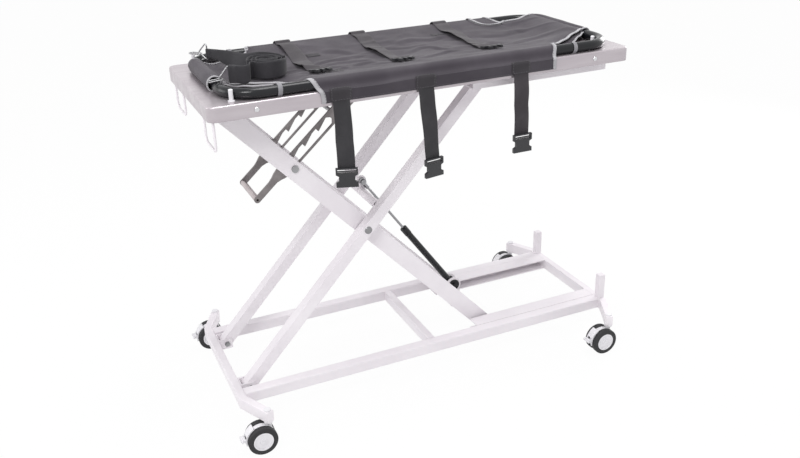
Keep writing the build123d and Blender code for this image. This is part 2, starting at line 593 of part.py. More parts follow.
RACK_TOP = 17.0
RACK_BOTTOM = -18.0
ROOT = 10.5
TIP = 1.0
BAR_TOP = -13.0
TOOTH_FIRST = 126.0
TOOTH_PITCH = 49.5
TOOTH_BACK = 36.0
TOOTH_FLAT = 2.0
TEETH = 3
WINDOW_START = 102.0
WINDOW_END = 270.0
WINDOW_CORNER = 8.0
ARM_END = 8.0              # half width of the arm at the handle
ARM_LONG = 92.0
ARM_ABOVE = [(74.0, 14.0), (62.0, 10.0), (50.0, ARM_END)]
ARM_BELOW = [(64.0, -ARM_END), (76.0, -11.5), (84.0, -15.5)]
HANDLE_R = 7.5
HANDLE_HOLE = 3.0
HANDLE_DRILL = 12.0
TIE_ALONG = 283.0
TIE_UP = 9.0
TIE_R = 5.0


def rack_plate(side):
    """One toothed plate with its arm, window and pivot eye."""
    low, high = span(side, RACK_IN, RACK_IN + RACK_PLATE)
    window = [(WINDOW_START, BAR_TOP), (WINDOW_START, ROOT)]
    for tooth in range(TEETH):
        tip = TOOTH_FIRST + tooth * TOOTH_PITCH
        window += [(tip, ROOT), (tip, TIP), (tip + TOOTH_FLAT, TIP), (tip + TOOTH_BACK, ROOT)]
    window += [(WINDOW_END - WINDOW_CORNER, ROOT), (WINDOW_END, ROOT - WINDOW_CORNER),
               (WINDOW_END, BAR_TOP + WINDOW_CORNER), (WINDOW_END - WINDOW_CORNER, BAR_TOP)]
    with BuildPart() as plate:
        with BuildSketch(side_plane(HANDLE, high, RACK_ANGLE)):
            Polygon((0, ARM_END), (0, -ARM_END), *ARM_BELOW, (ARM_LONG, RACK_BOTTOM),
                    (RACK_LENGTH, RACK_BOTTOM), (RACK_LENGTH, RACK_TOP), (ARM_LONG, RACK_TOP), *ARM_ABOVE,
                    align=None)
            Circle(ARM_END)
            with Locations((RACK_LENGTH, 0)):
                Circle(PIVOT_BORE + EYE_WALL)
            Polygon(*window, align=None, mode=Mode.SUBTRACT)
            Circle(HANDLE_HOLE, mode=Mode.SUBTRACT)
            with Locations((RACK_LENGTH, 0)):
                Circle(PIVOT_BORE, mode=Mode.SUBTRACT)
        extrude(amount=RACK_PLATE)
    return plate.part


for name, side in SIDES.items():
    save(rack_plate(side), f"rack_plate_{name}")
with BuildPart() as rack_handle:
    bar_y(HANDLE, HANDLE_R, -RACK_IN, RACK_IN)
    for side in SIDES.values():
        low, high = span(side, RACK_IN - HANDLE_DRILL, RACK_IN)
        bar_y(HANDLE, HANDLE_HOLE, low, high, Mode.SUBTRACT)
save(rack_handle.part, "rack_handle")
TIE = HANDLE + RACK_DIR * TIE_ALONG + RACK_NORMAL * TIE_UP
with BuildPart() as rack_tie_rod:
    bar_y(TIE, TIE_R, -RACK_IN, RACK_IN)
save(rack_tie_rod.part, "rack_tie_rod")
with BuildPart() as rack_pivot_tube:
    bar_y(RACK_PIVOT, PIVOT_TUBE, -RACK_IN + FREE, RACK_IN - FREE)
    bar_y(RACK_PIVOT, PIVOT_BORE, -RACK_IN, RACK_IN, Mode.SUBTRACT)
save(rack_pivot_tube.part, "rack_pivot_tube")

# Table: pressed tray
with BuildPart() as table_top:
    with BuildSketch(Plane(origin=(MID_X, 0, SKIRT_BOTTOM))):
        RectangleRounded(TABLE_LENGTH, TABLE_WIDTH, TABLE_CORNER)
    extrude(amount=SKIRT)
    fillet(table_top.faces().sort_by(Axis.Z)[-1].edges(), 4)
    with BuildSketch(Plane(origin=(MID_X, 0, SKIRT_BOTTOM))):
        RectangleRounded(TABLE_LENGTH - 2 * SHEET, TABLE_WIDTH - 2 * SHEET, TABLE_CORNER - SHEET)
    extrude(amount=SKIRT - SHEET, mode=Mode.SUBTRACT)
save(table_top.part, "table_top")

# Upper roller tracks, open toward the middle, hung from cross members
UPPER_TRACK_WIDE = 40.0
UPPER_START = 57.0         # track behind the roller at rest
UPPER_INSET = 45.0         # track's end from the table's right end
MEMBER_INSET = 10.0
UPPER_TRACK_IN = OUTER_OUT + TRACK_LIP
UPPER_TRACK_OUT = UPPER_TRACK_IN + UPPER_TRACK_WIDE
UPPER_TRACK_START = UPPER_ROLL.X - UPPER_START
UPPER_TRACK_END = MID_X + TABLE_HALF - UPPER_INSET
TRACK_TOP = HEAD.Z + RAIL / 2
with BuildPart() as upper_tracks:
    for side in SIDES.values():
        low, high = span(side, UPPER_TRACK_IN, UPPER_TRACK_OUT)
        inner_low, inner_high = span(side, UPPER_TRACK_IN - 1, UPPER_TRACK_OUT - TRACK_WALL)
        with BuildSketch(cross_plane(UPPER_TRACK_START, 0, HEAD.Z)):
            with Locations(((low + high) / 2, 0)):
                Rectangle(high - low, RAIL)
            with Locations(((inner_low + inner_high) / 2, 0)):
                Rectangle(inner_high - inner_low, RAIL - 2 * TRACK_WALL, mode=Mode.SUBTRACT)
        extrude(amount=UPPER_TRACK_END - UPPER_TRACK_START)
save(upper_tracks.part, "upper_tracks")
MEMBER_HALF = TABLE_Y - SHEET
with BuildPart() as cross_members:
    for x in (UPPER_TRACK_START + MEMBER_INSET, UPPER_TRACK_END - MEMBER_INSET):
        with BuildSketch(Plane(origin=(x, MEMBER_HALF, 0), x_dir=(1, 0, 0), z_dir=(0, -1, 0))):
            with Locations((0, (TRACK_TOP + SHEET_UNDER) / 2)):
                Rectangle(BAR, SHEET_UNDER - TRACK_TOP)
                Rectangle(BAR - 2 * WALL, SHEET_UNDER - TRACK_TOP - 2 * WALL, mode=Mode.SUBTRACT)
        extrude(amount=2 * MEMBER_HALF)
save(cross_members.part, "cross_members")

# Head brackets either side of each inner leg, hung from a pad under the sheet
HEAD_CHEEK = 16.0
PAD_OVER = 12.0
PAD_LONG = 44.0
PAD_TALL = 3.0
HEAD_IN = INNER_LEG_Y - FREE - PLATE
HEAD_OUT = INNER_OUT + FREE + PLATE
with BuildPart() as head_brackets:
    for side in SIDES.values():
        for inner in (HEAD_IN, HEAD_OUT - PLATE):
            low, high = span(side, inner, inner + PLATE)
            with BuildSketch(side_plane(HEAD, high)):
                Circle(HEAD_CHEEK)
                with Locations((0, (SHEET_UNDER - HEAD.Z) / 2)):
                    Rectangle(2 * HEAD_CHEEK, SHEET_UNDER - HEAD.Z)
                Circle(PIN_R, mode=Mode.SUBTRACT)
            extrude(amount=PLATE)
        low, high = span(side, HEAD_IN - PAD_OVER, HEAD_OUT + PAD_OVER)
        with Locations((HEAD.X, low, SHEET_UNDER)):
            Box(PAD_LONG, high - low, PAD_TALL, align=(Align.CENTER, Align.MIN, Align.MAX))
save(head_brackets.part, "head_brackets")
with BuildPart() as head_bolts:
    for side in SIDES.values():
        dome_bolt(HEAD, side, PIN_R, BOLT_HEAD, HEAD_IN, HEAD_OUT)
save(head_bolts.part, "head_bolts")

# Hangers and rod for the rack's upper end
HANGER_GAP = 1.5
HANGER_R = 24.0
ROD_CAP_R = 8.0
HANGER_IN = RACK_IN + RACK_PLATE + HANGER_GAP
with BuildPart() as rack_hangers:
    for side in SIDES.values():
        low, high = span(side, HANGER_IN, HANGER_IN + PLATE)
        with BuildSketch(side_plane(RACK_PIVOT, high)):
            Circle(HANGER_R)
            with Locations((0, (SHEET_UNDER - RACK_PIVOT.Z) / 2)):
                Rectangle(2 * HANGER_R, SHEET_UNDER - RACK_PIVOT.Z)
        extrude(amount=PLATE)
        low, high = span(side, HANGER_IN + PLATE, HANGER_IN + PLATE + HEAD_TALL)
        bar_y(RACK_PIVOT, ROD_CAP_R, low, high)
    bar_y(RACK_PIVOT, PIN_R, -HANGER_IN, HANGER_IN)
save(rack_hangers.part, "rack_hangers")

# Small table fittings
SKIRT_BOLT_INSET = 108.0   # from the table's end
SKIRT_BOLT_DROP = 17.5
SKIRT_BOLT_R = 6.0
SKIRT_BOLT_TALL = 3.0
with BuildPart() as skirt_bolts:
    for side in SIDES.values():
        for end in ENDS.values():
            point = Vector(MID_X + end * (TABLE_HALF - SKIRT_BOLT_INSET), 0, TABLE_TOP - SKIRT_BOLT_DROP)
            low, high = span(side, TABLE_Y, TABLE_Y + SKIRT_BOLT_TALL)
            bar_y(point, SKIRT_BOLT_R, low, high)
    domes = skirt_bolts.faces().sort_by(Axis.Y)
    fillet(domes[:2].edges() + domes[-2:].edges(), SKIRT_BOLT_TALL * 0.8)
save(skirt_bolts.part, "skirt_bolts")
LOOP_WIRE = 3.0
LOOP_INSET = 12.0          # from the table's left end
LOOP_EDGE = 13.0           # from the table's long edge
LOOP_WIDE = 95.0
LOOP_DROP = 70.6           # below the skirt
LOOP_BEND = 14.0
LOOP_X = MID_X - TABLE_HALF + LOOP_INSET
LOOP_OUT = TABLE_Y - LOOP_EDGE
LOOP_IN = LOOP_OUT - LOOP_WIDE
LOOP_BOTTOM = SKIRT_BOTTOM - LOOP_DROP
with BuildPart() as tie_loops:
    for side in SIDES.values():
        with BuildLine() as loop_line:
            FilletPolyline((LOOP_X, side * LOOP_IN, SHEET_UNDER), (LOOP_X, side * LOOP_IN, LOOP_BOTTOM),
                           (LOOP_X, side * LOOP_OUT, LOOP_BOTTOM), (LOOP_X, side * LOOP_OUT, SHEET_UNDER),
                           radius=LOOP_BEND)
        with BuildSketch(Plane(origin=(LOOP_X, side * LOOP_IN, SHEET_UNDER), z_dir=(0, 0, -1))):
            Circle(LOOP_WIRE)
        sweep(path=loop_line.wire())
save(tie_loops.part, "tie_loops")
TUBE_R = TUBE / 2
TUBE_Z = TABLE_TOP + TUBE_R + FREE
BEND = 75.0
PEG = 10.0
PEG_TALL = 27.0
PEG_FOOT_R = 8.0
PEG_FOOT = 2.0
PEG_GAP = 1.0              # peg from the frame tube's widest line
LEFT_CORNER = (MID_X + STRETCHER_LEFT + BEND, STRETCHER_Y - BEND)
RIGHT_CORNER = (MID_X + STRETCHER_RIGHT - BEND, STRETCHER_Y - BEND)
PEG_OUT = (BEND + TUBE_R + PEG / 2 + PEG_GAP) * cos(radians(45))
PEG_INSIDE = (BEND - TUBE_R - PEG / 2 - PEG_GAP) * cos(radians(45))
with BuildPart() as tube_pegs:
    for side in SIDES.values():
        for x, y in ((LEFT_CORNER[0] - PEG_OUT, LEFT_CORNER[1] + PEG_OUT),
                     (RIGHT_CORNER[0] + PEG_INSIDE, RIGHT_CORNER[1] + PEG_INSIDE)):
            with Locations((x, side * y, TABLE_TOP)):
                Cylinder(PEG / 2, PEG_TALL, align=SHAFT_ALIGN)
                Cylinder(PEG_FOOT_R, PEG_FOOT, align=SHAFT_ALIGN)
    fillet(tube_pegs.faces().sort_by(Axis.Z)[-4:].edges(), 2)
save(tube_pegs.part, "tube_pegs")

# Stretcher: bent tube frame
with BuildPart() as stretcher_tube:
    with BuildLine() as tube_line:
        x0 = MID_X + STRETCHER_LEFT
        x1 = MID_X + STRETCHER_RIGHT
        FilletPolyline((x0, -STRETCHER_Y, TUBE_Z), (x1, -STRETCHER_Y, TUBE_Z), (x1, STRETCHER_Y, TUBE_Z),
                       (x0, STRETCHER_Y, TUBE_Z), radius=BEND, close=True)
    tube_wire = tube_line.wire()
    with BuildSketch(Plane(origin=tube_wire.position_at(0), z_dir=tube_wire.tangent_at(0))):
        Circle(TUBE_R)
    sweep(path=tube_wire)
save(stretcher_tube.part, "stretcher_tube")

# Fabric bed: sags between the long tubes, wraps over them and hangs as a skirt each side
CLOTH = 2.0
BED_SAG = 20.0
HOLE_LEFT = 205.5          # left hand holes from the end tube
HOLE_RIGHT = 180.0         # right hand holes from the end tube
HEM = 7.0                  # cloth's lower edge above the table's skirt edge
SKIRT_OFF = 1.6            # cloth's skirt from the table's edge
SKIRT_LEFT = MID_X + STRETCHER_LEFT + HOLE_LEFT
SKIRT_RIGHT = MID_X + STRETCHER_RIGHT - HOLE_RIGHT
ROLL_NEAR = 88.0           # rolled end sleeve's ends from the middle
ROLL_FAR = STRETCHER_Y - BEND - 1
ROLL_R = 17.0
# Edge of the cloth at each hand hole: (from the end tube, from the middle), inward end first
NECK = {("near", "left"): [(138.0, 111.0), (95.0, 97.0), (50.0, 86.0)],
        ("far", "left"): [(138.0, 111.0), (95.0, 97.0), (50.0, 97.0)],
        ("near", "right"): [(151.0, 146.0), (90.0, 118.0), (45.0, 90.0)],
        ("far", "right"): [(151.0, 146.0), (110.0, 138.0), (60.0, 121.0)]}
WRAP = TUBE_R + 0.6


def bed_half(lift):
    """Half profile from the middle out over the tube and down the skirt, raised off the cloth's underside."""
    reach = WRAP + lift
    crest = TUBE_Z + reach
    middle = crest - BED_SAG
    points = [(0.0, middle), (STRETCHER_Y * 0.3, middle + BED_SAG * 0.16),
              (STRETCHER_Y * 0.6, middle + BED_SAG * 0.55)]
    for turn in (105, 78, 48, 22):
        points.append((STRETCHER_Y + reach * cos(radians(turn)), TUBE_Z + reach * sin(radians(turn))))
    outside = TABLE_Y + SKIRT_OFF + lift
    points += [(outside - 1.5, TABLE_TOP - 1.0), (outside, TABLE_TOP - 9.0)]
    return points


def bed_profile(low, high, bottom):
    """Closed outline between two lifts, across the whole bed."""
    upper = [(-y, z) for y, z in reversed(bed_half(high))] + bed_half(high)[1:]
    lower = [(-y, z) for y, z in reversed(bed_half(low))] + bed_half(low)[1:]
    with BuildLine() as outline:
        Spline(*upper)
        Line(upper[-1], (upper[-1][0], bottom))
        Line((upper[-1][0], bottom), (lower[-1][0], bottom))
        Line((lower[-1][0], bottom), lower[-1])
        Spline(*reversed(lower))
        Line(lower[0], (lower[0][0], bottom))
        Line((lower[0][0], bottom), (upper[0][0], bottom))
        Line((upper[0][0], bottom), upper[0])
    return outline.line


BED_INSET = 2.0            # cloth's flat part from the end tube's wrap
HOLE_LEAN = 5.0            # hand hole's edge leans over the tube
BED_START = x0 + WRAP + BED_INSET
BED_END = x1 - WRAP - BED_INSET
with BuildPart() as stretcher_bed:
    with BuildSketch(cross_plane(BED_START, 0, 0)):
        make_face(bed_profile(0, CLOTH, SKIRT_BOTTOM + HEM).edges())
    extrude(amount=BED_END - BED_START)
    with BuildSketch(Plane.XY.offset(SKIRT_BOTTOM - SKIRT)):
        for (side_name, end_name), neck in NECK.items():
            side = SIDES[side_name]
            far = ENDS[end_name]
            end = x0 if far < 0 else x1
            edge = SKIRT_LEFT if far < 0 else SKIRT_RIGHT
            inner = [(end - along * far, side * y) for along, y in neck]
            Polygon((edge, side * TABLE_WIDTH), (edge + HOLE_LEAN * far, side * (STRETCHER_Y + WRAP)),
                    (edge + 3 * HOLE_LEAN * far, side * (STRETCHER_Y - WRAP)), *inner,
                    (end + BEND * far, inner[-1][1]), (end + BEND * far, side * TABLE_WIDTH), align=None)
    extrude(amount=4 * SKIRT, mode=Mode.SUBTRACT)
    for x in (x0, x1):
        roll_axis = Vector(x, 0, TUBE_Z)
        bar_y(roll_axis, ROLL_R, -ROLL_NEAR, ROLL_FAR)
        with Locations((x, 0, TABLE_TOP + FREE)):
            Box(3 * ROLL_R, TABLE_WIDTH, ROLL_R, align=(Align.CENTER, Align.CENTER, Align.MAX),
                mode=Mode.SUBTRACT)
        bar_y(roll_axis, WRAP, -ROLL_NEAR, ROLL_FAR, Mode.SUBTRACT)
save(stretcher_bed.part, "stretcher_bed")

# Straps across the bed, from the far skirt to a buckle lying on the cloth
CROSS_STRAPS = (SKIRT_LEFT + 40.0, MID_X - 40.0, SKIRT_RIGHT - 121.0)
CROSS_WIDE = 42.0
CROSS_END = 105.0          # strap's near end from the near tube
CROSS_HEM = 14.0           # strap's far end above the table's skirt edge
STRAP_LIFT = CLOTH + 0.2   # strap above the cloth's underside
STRAP_END_Y = CROSS_END - STRETCHER_Y
with BuildPart() as cross_straps:
    for x in CROSS_STRAPS:
        with BuildSketch(cross_plane(x - CROSS_WIDE / 2, 0, 0)):
            make_face(bed_profile(STRAP_LIFT, STRAP_LIFT + STRAP_THICK, SKIRT_BOTTOM + CROSS_HEM).edges())
        extrude(amount=CROSS_WIDE)
        with Locations((x, STRAP_END_Y, TABLE_TOP)):
            Box(2 * CROSS_WIDE, TABLE_WIDTH, TABLE_WIDTH, align=(Align.CENTER, Align.MAX, Align.CENTER),
                mode=Mode.SUBTRACT)
save(cross_straps.part, "cross_straps")

# Straps hanging down the near side: (x, drop to the buckle's foot, buckle's turn about the vertical)
HANGING = ((SKIRT_LEFT + 44.0, 229.2, -20.0), (MID_X - 23.0, 246.2, 10.0),
           (SKIRT_RIGHT - 98.5, 227.2, 0.0))
BUCKLE_TALL = 47.0
BUCKLE_GAP = 0.4           # strap's end from its buckle
HANG_TOP = 13.5            # strap's upper end below the table top
HANG_GAP = 0.3
HANG_Y = TABLE_Y + SKIRT_OFF + CLOTH + HANG_GAP
with BuildPart() as hanging_straps:
    for x, drop, turn in HANGING:
        with Locations((x, -HANG_Y, TABLE_TOP - HANG_TOP)):
            Box(STRAP, STRAP_THICK, drop - HANG_TOP - BUCKLE_TALL - BUCKLE_GAP,
                align=(Align.CENTER, Align.MAX, Align.MAX))
save(hanging_straps.part, "hanging_straps")
BUCKLE_THICK = 8.0
BUCKLE_OVER = 10.0         # buckle wider than its strap
BUCKLE_WAIST = 7.0
BUCKLE_JAW = 11.0
BUCKLE_NECK = 12.0
BUCKLE_CHAMFER = 4.0
SLOT_TALL = 9.0
SLOT_RIM = 3.0
SLOT_SIDE = 4.0
SLOT_BAR = 1.7             # radius of the bar across a slot
PRONG_TALL = 40.0
PRONG_THICK = 6.0
PRONG_ROOT = 21.0          # prongs' length below the strap block
PRONG_TIP = 8.0
PRONG_IN = 11.0
PRONG_ARM = 5.5
PRONG_CATCH = 3.5
GUIDE_HALF = 3.0
GUIDE_SHORT = 3.0
LIE_NEAR = -133.0          # lying buckle's prong tips across the bed
LIE_SLOPE = 9.0
LIE_LIFT = 9.4             # prong tips' underside above the frame tube's centre


def slot_bar(plane, wide, along, thick):
    """Round bar across a strap slot, proud of the face."""
    bar = plane * Plane(origin=(-wide / 2 + SLOT_SIDE / 2, along, thick - SLOT_BAR), z_dir=(1, 0, 0))
    with Locations(bar):
        Cylinder(SLOT_BAR, wide - SLOT_SIDE, align=SHAFT_ALIGN)


def buckle(plane, wide):
    """Buckle's socket half: waisted body with a bar slot for its strap; local y runs toward the strap."""
    half = wide / 2
    waist = half - BUCKLE_WAIST
    rise = BUCKLE_JAW + BUCKLE_CHAMFER
    neck = rise + BUCKLE_NECK
    slot = BUCKLE_TALL - SLOT_RIM - SLOT_TALL / 2
    with BuildSketch(plane) as face:
        with BuildLine():
            right = Polyline((0, 0), (half, 0), (half, BUCKLE_JAW), (waist, rise), (waist, neck),
                             (half, neck + BUCKLE_CHAMFER), (half, BUCKLE_TALL), (0, BUCKLE_TALL))
            mirror(right, about=Plane.YZ)
        make_face()
        with Locations((0, slot)):
            Rectangle(wide - 2 * SLOT_SIDE, SLOT_TALL, mode=Mode.SUBTRACT)
    extrude(face.sketch, amount=BUCKLE_THICK)
    slot_bar(plane, wide, slot, BUCKLE_THICK)


def prong_buckle(plane, wide):
    """Buckle's other half: strap block with a middle guide and two sprung prongs away from the strap."""
    half = wide / 2
    slot = PRONG_TALL - SLOT_RIM - SLOT_TALL / 2
    with BuildSketch(plane) as face:
        with Locations((0, PRONG_ROOT)):
            Rectangle(wide, PRONG_TALL - PRONG_ROOT, align=(Align.CENTER, Align.MIN))
        with Locations((0, slot)):
            Rectangle(wide - 2 * SLOT_SIDE, SLOT_TALL, mode=Mode.SUBTRACT)
        with Locations((0, GUIDE_SHORT)):
            Rectangle(2 * GUIDE_HALF, PRONG_ROOT, align=(Align.CENTER, Align.MIN))
        for way in (1, -1):
            Polygon((way * PRONG_IN, PRONG_ROOT + 1), (way * (PRONG_IN + PRONG_ARM), PRONG_ROOT + 1),
                    (way * (PRONG_IN + PRONG_ARM), PRONG_TIP), (way * (half - PRONG_CATCH), PRONG_TIP),
                    (way * (PRONG_IN + PRONG_ARM), 0), (way * PRONG_IN, 0), align=None)
    extrude(face.sketch, amount=PRONG_THICK)
    slot_bar(plane, wide, slot, PRONG_THICK)


with BuildPart() as buckles:
    for x, drop, turn in HANGING:
        angle = radians(turn)
        swing = (STRAP + BUCKLE_OVER) / 2 * abs(sin(angle))
        place = Plane(origin=(x, -HANG_Y - swing, TABLE_TOP - drop), x_dir=(cos(angle), sin(angle), 0),
                      z_dir=(sin(angle), -cos(angle), 0))
        buckle(place, STRAP + BUCKLE_OVER)
    for x in CROSS_STRAPS:
        place = Plane(origin=(x, LIE_NEAR, TUBE_Z + LIE_LIFT), x_dir=(1, 0, 0),
                      z_dir=(0, sin(radians(LIE_SLOPE)), cos(radians(LIE_SLOPE))))
        prong_buckle(place, CROSS_WIDE + BUCKLE_OVER)
save(buckles.part, "buckles")

# Carry strap: rolled up from its middle, standing on edge, its two tails running to rings at the corners
COIL = (MID_X + STRETCHER_LEFT + 134.0, -46.0)
COIL_STEP = 9.0
COIL_SEED = 9.0
COIL_LIFT = 4.0
COIL_BOTTOM = TUBE_Z + COIL_LIFT
COIL_THICK = 2.4
COIL_TURNS = 3


def coil_arm(flip):
    """Half turns of growing radius outward from the middle of the roll."""
    starts = [(0.0, 0.0), (2 * COIL_SEED, 0.0)]
    mids = [(COIL_SEED, -COIL_SEED)]
    edge = 2 * COIL_SEED
    for turn in range(COIL_TURNS):
        radius = 2 * COIL_SEED + COIL_STEP * (turn + 0.5)
        way = -1 if turn % 2 == 0 else 1
        centre = edge + way * radius
        mids.append((centre, -way * radius))
        edge = edge + 2 * way * radius
        starts.append((edge, 0.0))
    shift = [(COIL[0] + flip * x, COIL[1] + flip * y) for x, y in starts]
    through = [(COIL[0] + flip * x, COIL[1] + flip * y) for x, y in mids]
    return shift, through


RING_WIRE = 1.8
RING_OVER = 2.0
RING_LONG = 30.0
RING_HALF = STRAP / 2 + RING_OVER
RING_Z = COIL_BOTTOM + STRAP / 2
TAIL_TURN = 75.0
TAIL_BEND = 35.0
FAR_TURN = 38.0
FAR_BEND = 60.0
NEAR_LEAD = 12.0
NEAR_LONG = 30.0
FAR_LONG = 205.0
COIL_R = 2 * COIL_SEED + COIL_STEP * COIL_TURNS


def heading(angle):
    """Unit direction in plan."""
    return (cos(radians(angle)), sin(radians(angle)))


def moved(point, direction, distance):
    """Point a distance along a direction in plan."""
    return (point[0] + direction[0] * distance, point[1] + direction[1] * distance)


NEAR_BEND = (COIL[0] - COIL_R - TAIL_BEND, COIL[1] - NEAR_LEAD)
NEAR_DIR = heading(-90 - TAIL_TURN)
NEAR_OFF = moved(NEAR_BEND, heading(-TAIL_TURN), TAIL_BEND)
NEAR_TAIL = moved(NEAR_OFF, NEAR_DIR, NEAR_LONG)
FAR_CENTRE = (COIL[0] + COIL_R - FAR_BEND, COIL[1])
FAR_DIR = heading(90 + FAR_TURN)
FAR_OFF = moved(FAR_CENTRE, heading(FAR_TURN), FAR_BEND)
FAR_TAIL = moved(FAR_OFF, FAR_DIR, FAR_LONG)
with BuildPart() as carry_strap:
    with BuildLine(Plane.XY.offset(COIL_BOTTOM)) as coil_line:
        for flip in (1, -1):
            ends, through = coil_arm(flip)
            for i, mid in enumerate(through):
                ThreePointArc(ends[i], mid, ends[i + 1])
        near_edge = (COIL[0] - COIL_R, COIL[1])
        Line(near_edge, moved(near_edge, (0, -1), NEAR_LEAD))
        ThreePointArc(moved(near_edge, (0, -1), NEAR_LEAD),
                      moved(NEAR_BEND, heading(-TAIL_TURN / 2), TAIL_BEND), NEAR_OFF)
        Line(NEAR_OFF, NEAR_TAIL)
        ThreePointArc((COIL[0] + COIL_R, COIL[1]),
                      moved(FAR_CENTRE, heading(FAR_TURN / 2), FAR_BEND), FAR_OFF)
        Line(FAR_OFF, FAR_TAIL)
    with BuildSketch(Plane.XY.offset(COIL_BOTTOM)):
        trace(coil_line.edges(), line_width=COIL_THICK)
    extrude(amount=STRAP)
coil_points = []
for edge in coil_line.edges():
    count = max(2, round(edge.length / 3))
    coil_points.append([edge.position_at(i / count) for i in range(count + 1)])
least = min((a - b).length for i, first in enumerate(coil_points) for j, second in enumerate(coil_points)
            if abs(i - j) > 1 for a in first[1:-1] for b in second[1:-1])
print(f"carry strap least gap between turns: {least - COIL_THICK:.2f} mm")
save(carry_strap.part, "carry_strap")

# Triangular rings at the tails, each with a snap hook reaching for the frame tube
RING_GAP = 0.8
RING_ROUND = 4.0
HOOK_OUT = 40.0            # hook's middle from the tail's end
HOOK_LONG = 18.0
HOOK_HALF = 7.0
HOOK_DROP = 8.0
with BuildPart() as strap_rings:
    for tail, way in ((NEAR_TAIL, NEAR_DIR), (FAR_TAIL, FAR_DIR)):
        base = moved(tail, way, RING_WIRE + RING_GAP)
        tip = moved(tail, way, RING_LONG)
        with BuildLine() as ring_line:
            FilletPolyline((*base, RING_Z - RING_HALF), (*base, RING_Z + RING_HALF),
                           (*tip, RING_Z - RING_ROUND), radius=RING_ROUND, close=True)
        ring_wire = ring_line.wire()
        with BuildSketch(Plane(origin=ring_wire.position_at(0), z_dir=ring_wire.tangent_at(0))):
            Circle(RING_WIRE)
        sweep(path=ring_wire)
        hook_point = moved(tail, way, HOOK_OUT)
        hook = Plane(origin=(*hook_point, RING_Z - HOOK_DROP), x_dir=(*way, 0), z_dir=(0, 0, 1))
        with BuildLine(hook) as hook_line:
            FilletPolyline((-HOOK_LONG, -HOOK_HALF), (HOOK_LONG, -HOOK_HALF), (HOOK_LONG, HOOK_HALF),
                           (-HOOK_LONG, HOOK_HALF), radius=HOOK_HALF * 0.98, close=True)
        hook_wire = hook_line.wire()
        with BuildSketch(Plane(origin=hook_wire.position_at(0), z_dir=hook_wire.tangent_at(0))):
            Circle(RING_WIRE)
        sweep(path=hook_wire)
save(strap_rings.part, "strap_rings")
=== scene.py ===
import json
import logging
import math
from dataclasses import dataclass, field
from enum import Enum, IntEnum
from typing import Any, Sequence

import bmesh
import bpy
from mathutils import Matrix, Vector, noise


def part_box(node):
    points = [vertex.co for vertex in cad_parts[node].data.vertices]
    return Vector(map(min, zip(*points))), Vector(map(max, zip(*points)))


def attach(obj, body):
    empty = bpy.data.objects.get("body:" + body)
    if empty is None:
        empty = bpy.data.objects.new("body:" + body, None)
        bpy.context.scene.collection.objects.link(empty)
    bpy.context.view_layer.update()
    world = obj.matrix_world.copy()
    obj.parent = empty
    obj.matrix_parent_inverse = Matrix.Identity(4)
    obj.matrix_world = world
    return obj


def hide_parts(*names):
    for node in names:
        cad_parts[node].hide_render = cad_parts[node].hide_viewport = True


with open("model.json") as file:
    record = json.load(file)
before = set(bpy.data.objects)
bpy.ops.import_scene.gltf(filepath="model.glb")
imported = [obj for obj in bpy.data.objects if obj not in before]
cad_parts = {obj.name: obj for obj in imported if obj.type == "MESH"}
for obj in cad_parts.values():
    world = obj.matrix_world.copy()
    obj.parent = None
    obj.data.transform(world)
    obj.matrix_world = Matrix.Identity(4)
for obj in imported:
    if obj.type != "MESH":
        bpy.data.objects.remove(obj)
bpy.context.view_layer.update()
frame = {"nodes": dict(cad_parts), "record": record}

MM = 0.001
LOG = logging.getLogger("trolley")
UP = Vector((0.0, 0.0, 1.0)).freeze()
WAVE_PHASE = 20.0  # a Wave texture multiplies its scaled place by this before it takes the sine
BRUSH_LENGTH = 90.0  # length of a brush line, in pitches
BRUSH_DRIFT = 9.0  # length of the tone's patches on brushed metal, in widths
ENDS_APART = 1.4  # spacing of a webbing's long threads, in pitches of its ribs
ENDS_SHARE = 0.45  # height of those threads against the ribs
RELIEF_TONE = 0.35  # how much of the relief goes into the tone

Table = Sequence[tuple[float, float]]
Seam = list[tuple[Vector, Vector]]


def linear(code: str) -> tuple[float, float, float, float]:
    """Turn an sRGB hex colour into the linear colour that shaders take.

    Args:
        code: colour as "#RRGGBB".

    Returns:
        Linear red, green and blue with full alpha.
    """
    parts = [int(code[i:i + 2], 16) / 255 for i in (1, 3, 5)]
    curve = [c / 12.92 if c <= 0.04045 else ((c + 0.055) / 1.055) ** 2.4 for c in parts]
    return (curve[0], curve[1], curve[2], 1.0)


def add_node(tree: bpy.types.NodeTree, kind: str, settings: dict[str, Any] | None = None,
             inputs: dict[str | int, Any] | None = None) -> bpy.types.Node:
    """Add one shader node with its settings, socket values and links.

    Args:
        tree: node tree that gets the node.
        kind: Blender's name of the node's type.
        settings: properties of the node by name.
        inputs: socket names or numbers, each with a value or with the output that feeds it.

    Returns:
        The new node.
    """
    node = tree.nodes.new(kind)
    for name, value in (settings or {}).items():
        setattr(node, name, value)
    for name, value in (inputs or {}).items():
        if isinstance(value, bpy.types.NodeSocket):
            tree.links.new(value, node.inputs[name])
        else:
            node.inputs[name].default_value = value
    return node


def wave_scale(pitch_mm: float) -> float:
    """Scale of a Wave texture whose bands repeat at a pitch in millimetres."""
    return math.tau / WAVE_PHASE / (pitch_mm * MM)


class Side(IntEnum):
    """Long side of the bed, as the sign of its place across."""

    NEAR = -1
    FAR = 1


class End(Enum):
    """End of a skirt or of the bed."""

    LEFT = "left"
    RIGHT = "right"


class Pattern(Enum):
    """Mark that the making of a surface leaves on it."""

    PEEL = "orange peel of a baked powder coat"
    BRUSHED = "long straight brush lines"
    GRAIN = "fine cast or moulded grain"
    WEAVE = "plain weave of warp and weft"
    RIB = "cross ribs of narrow webbing"


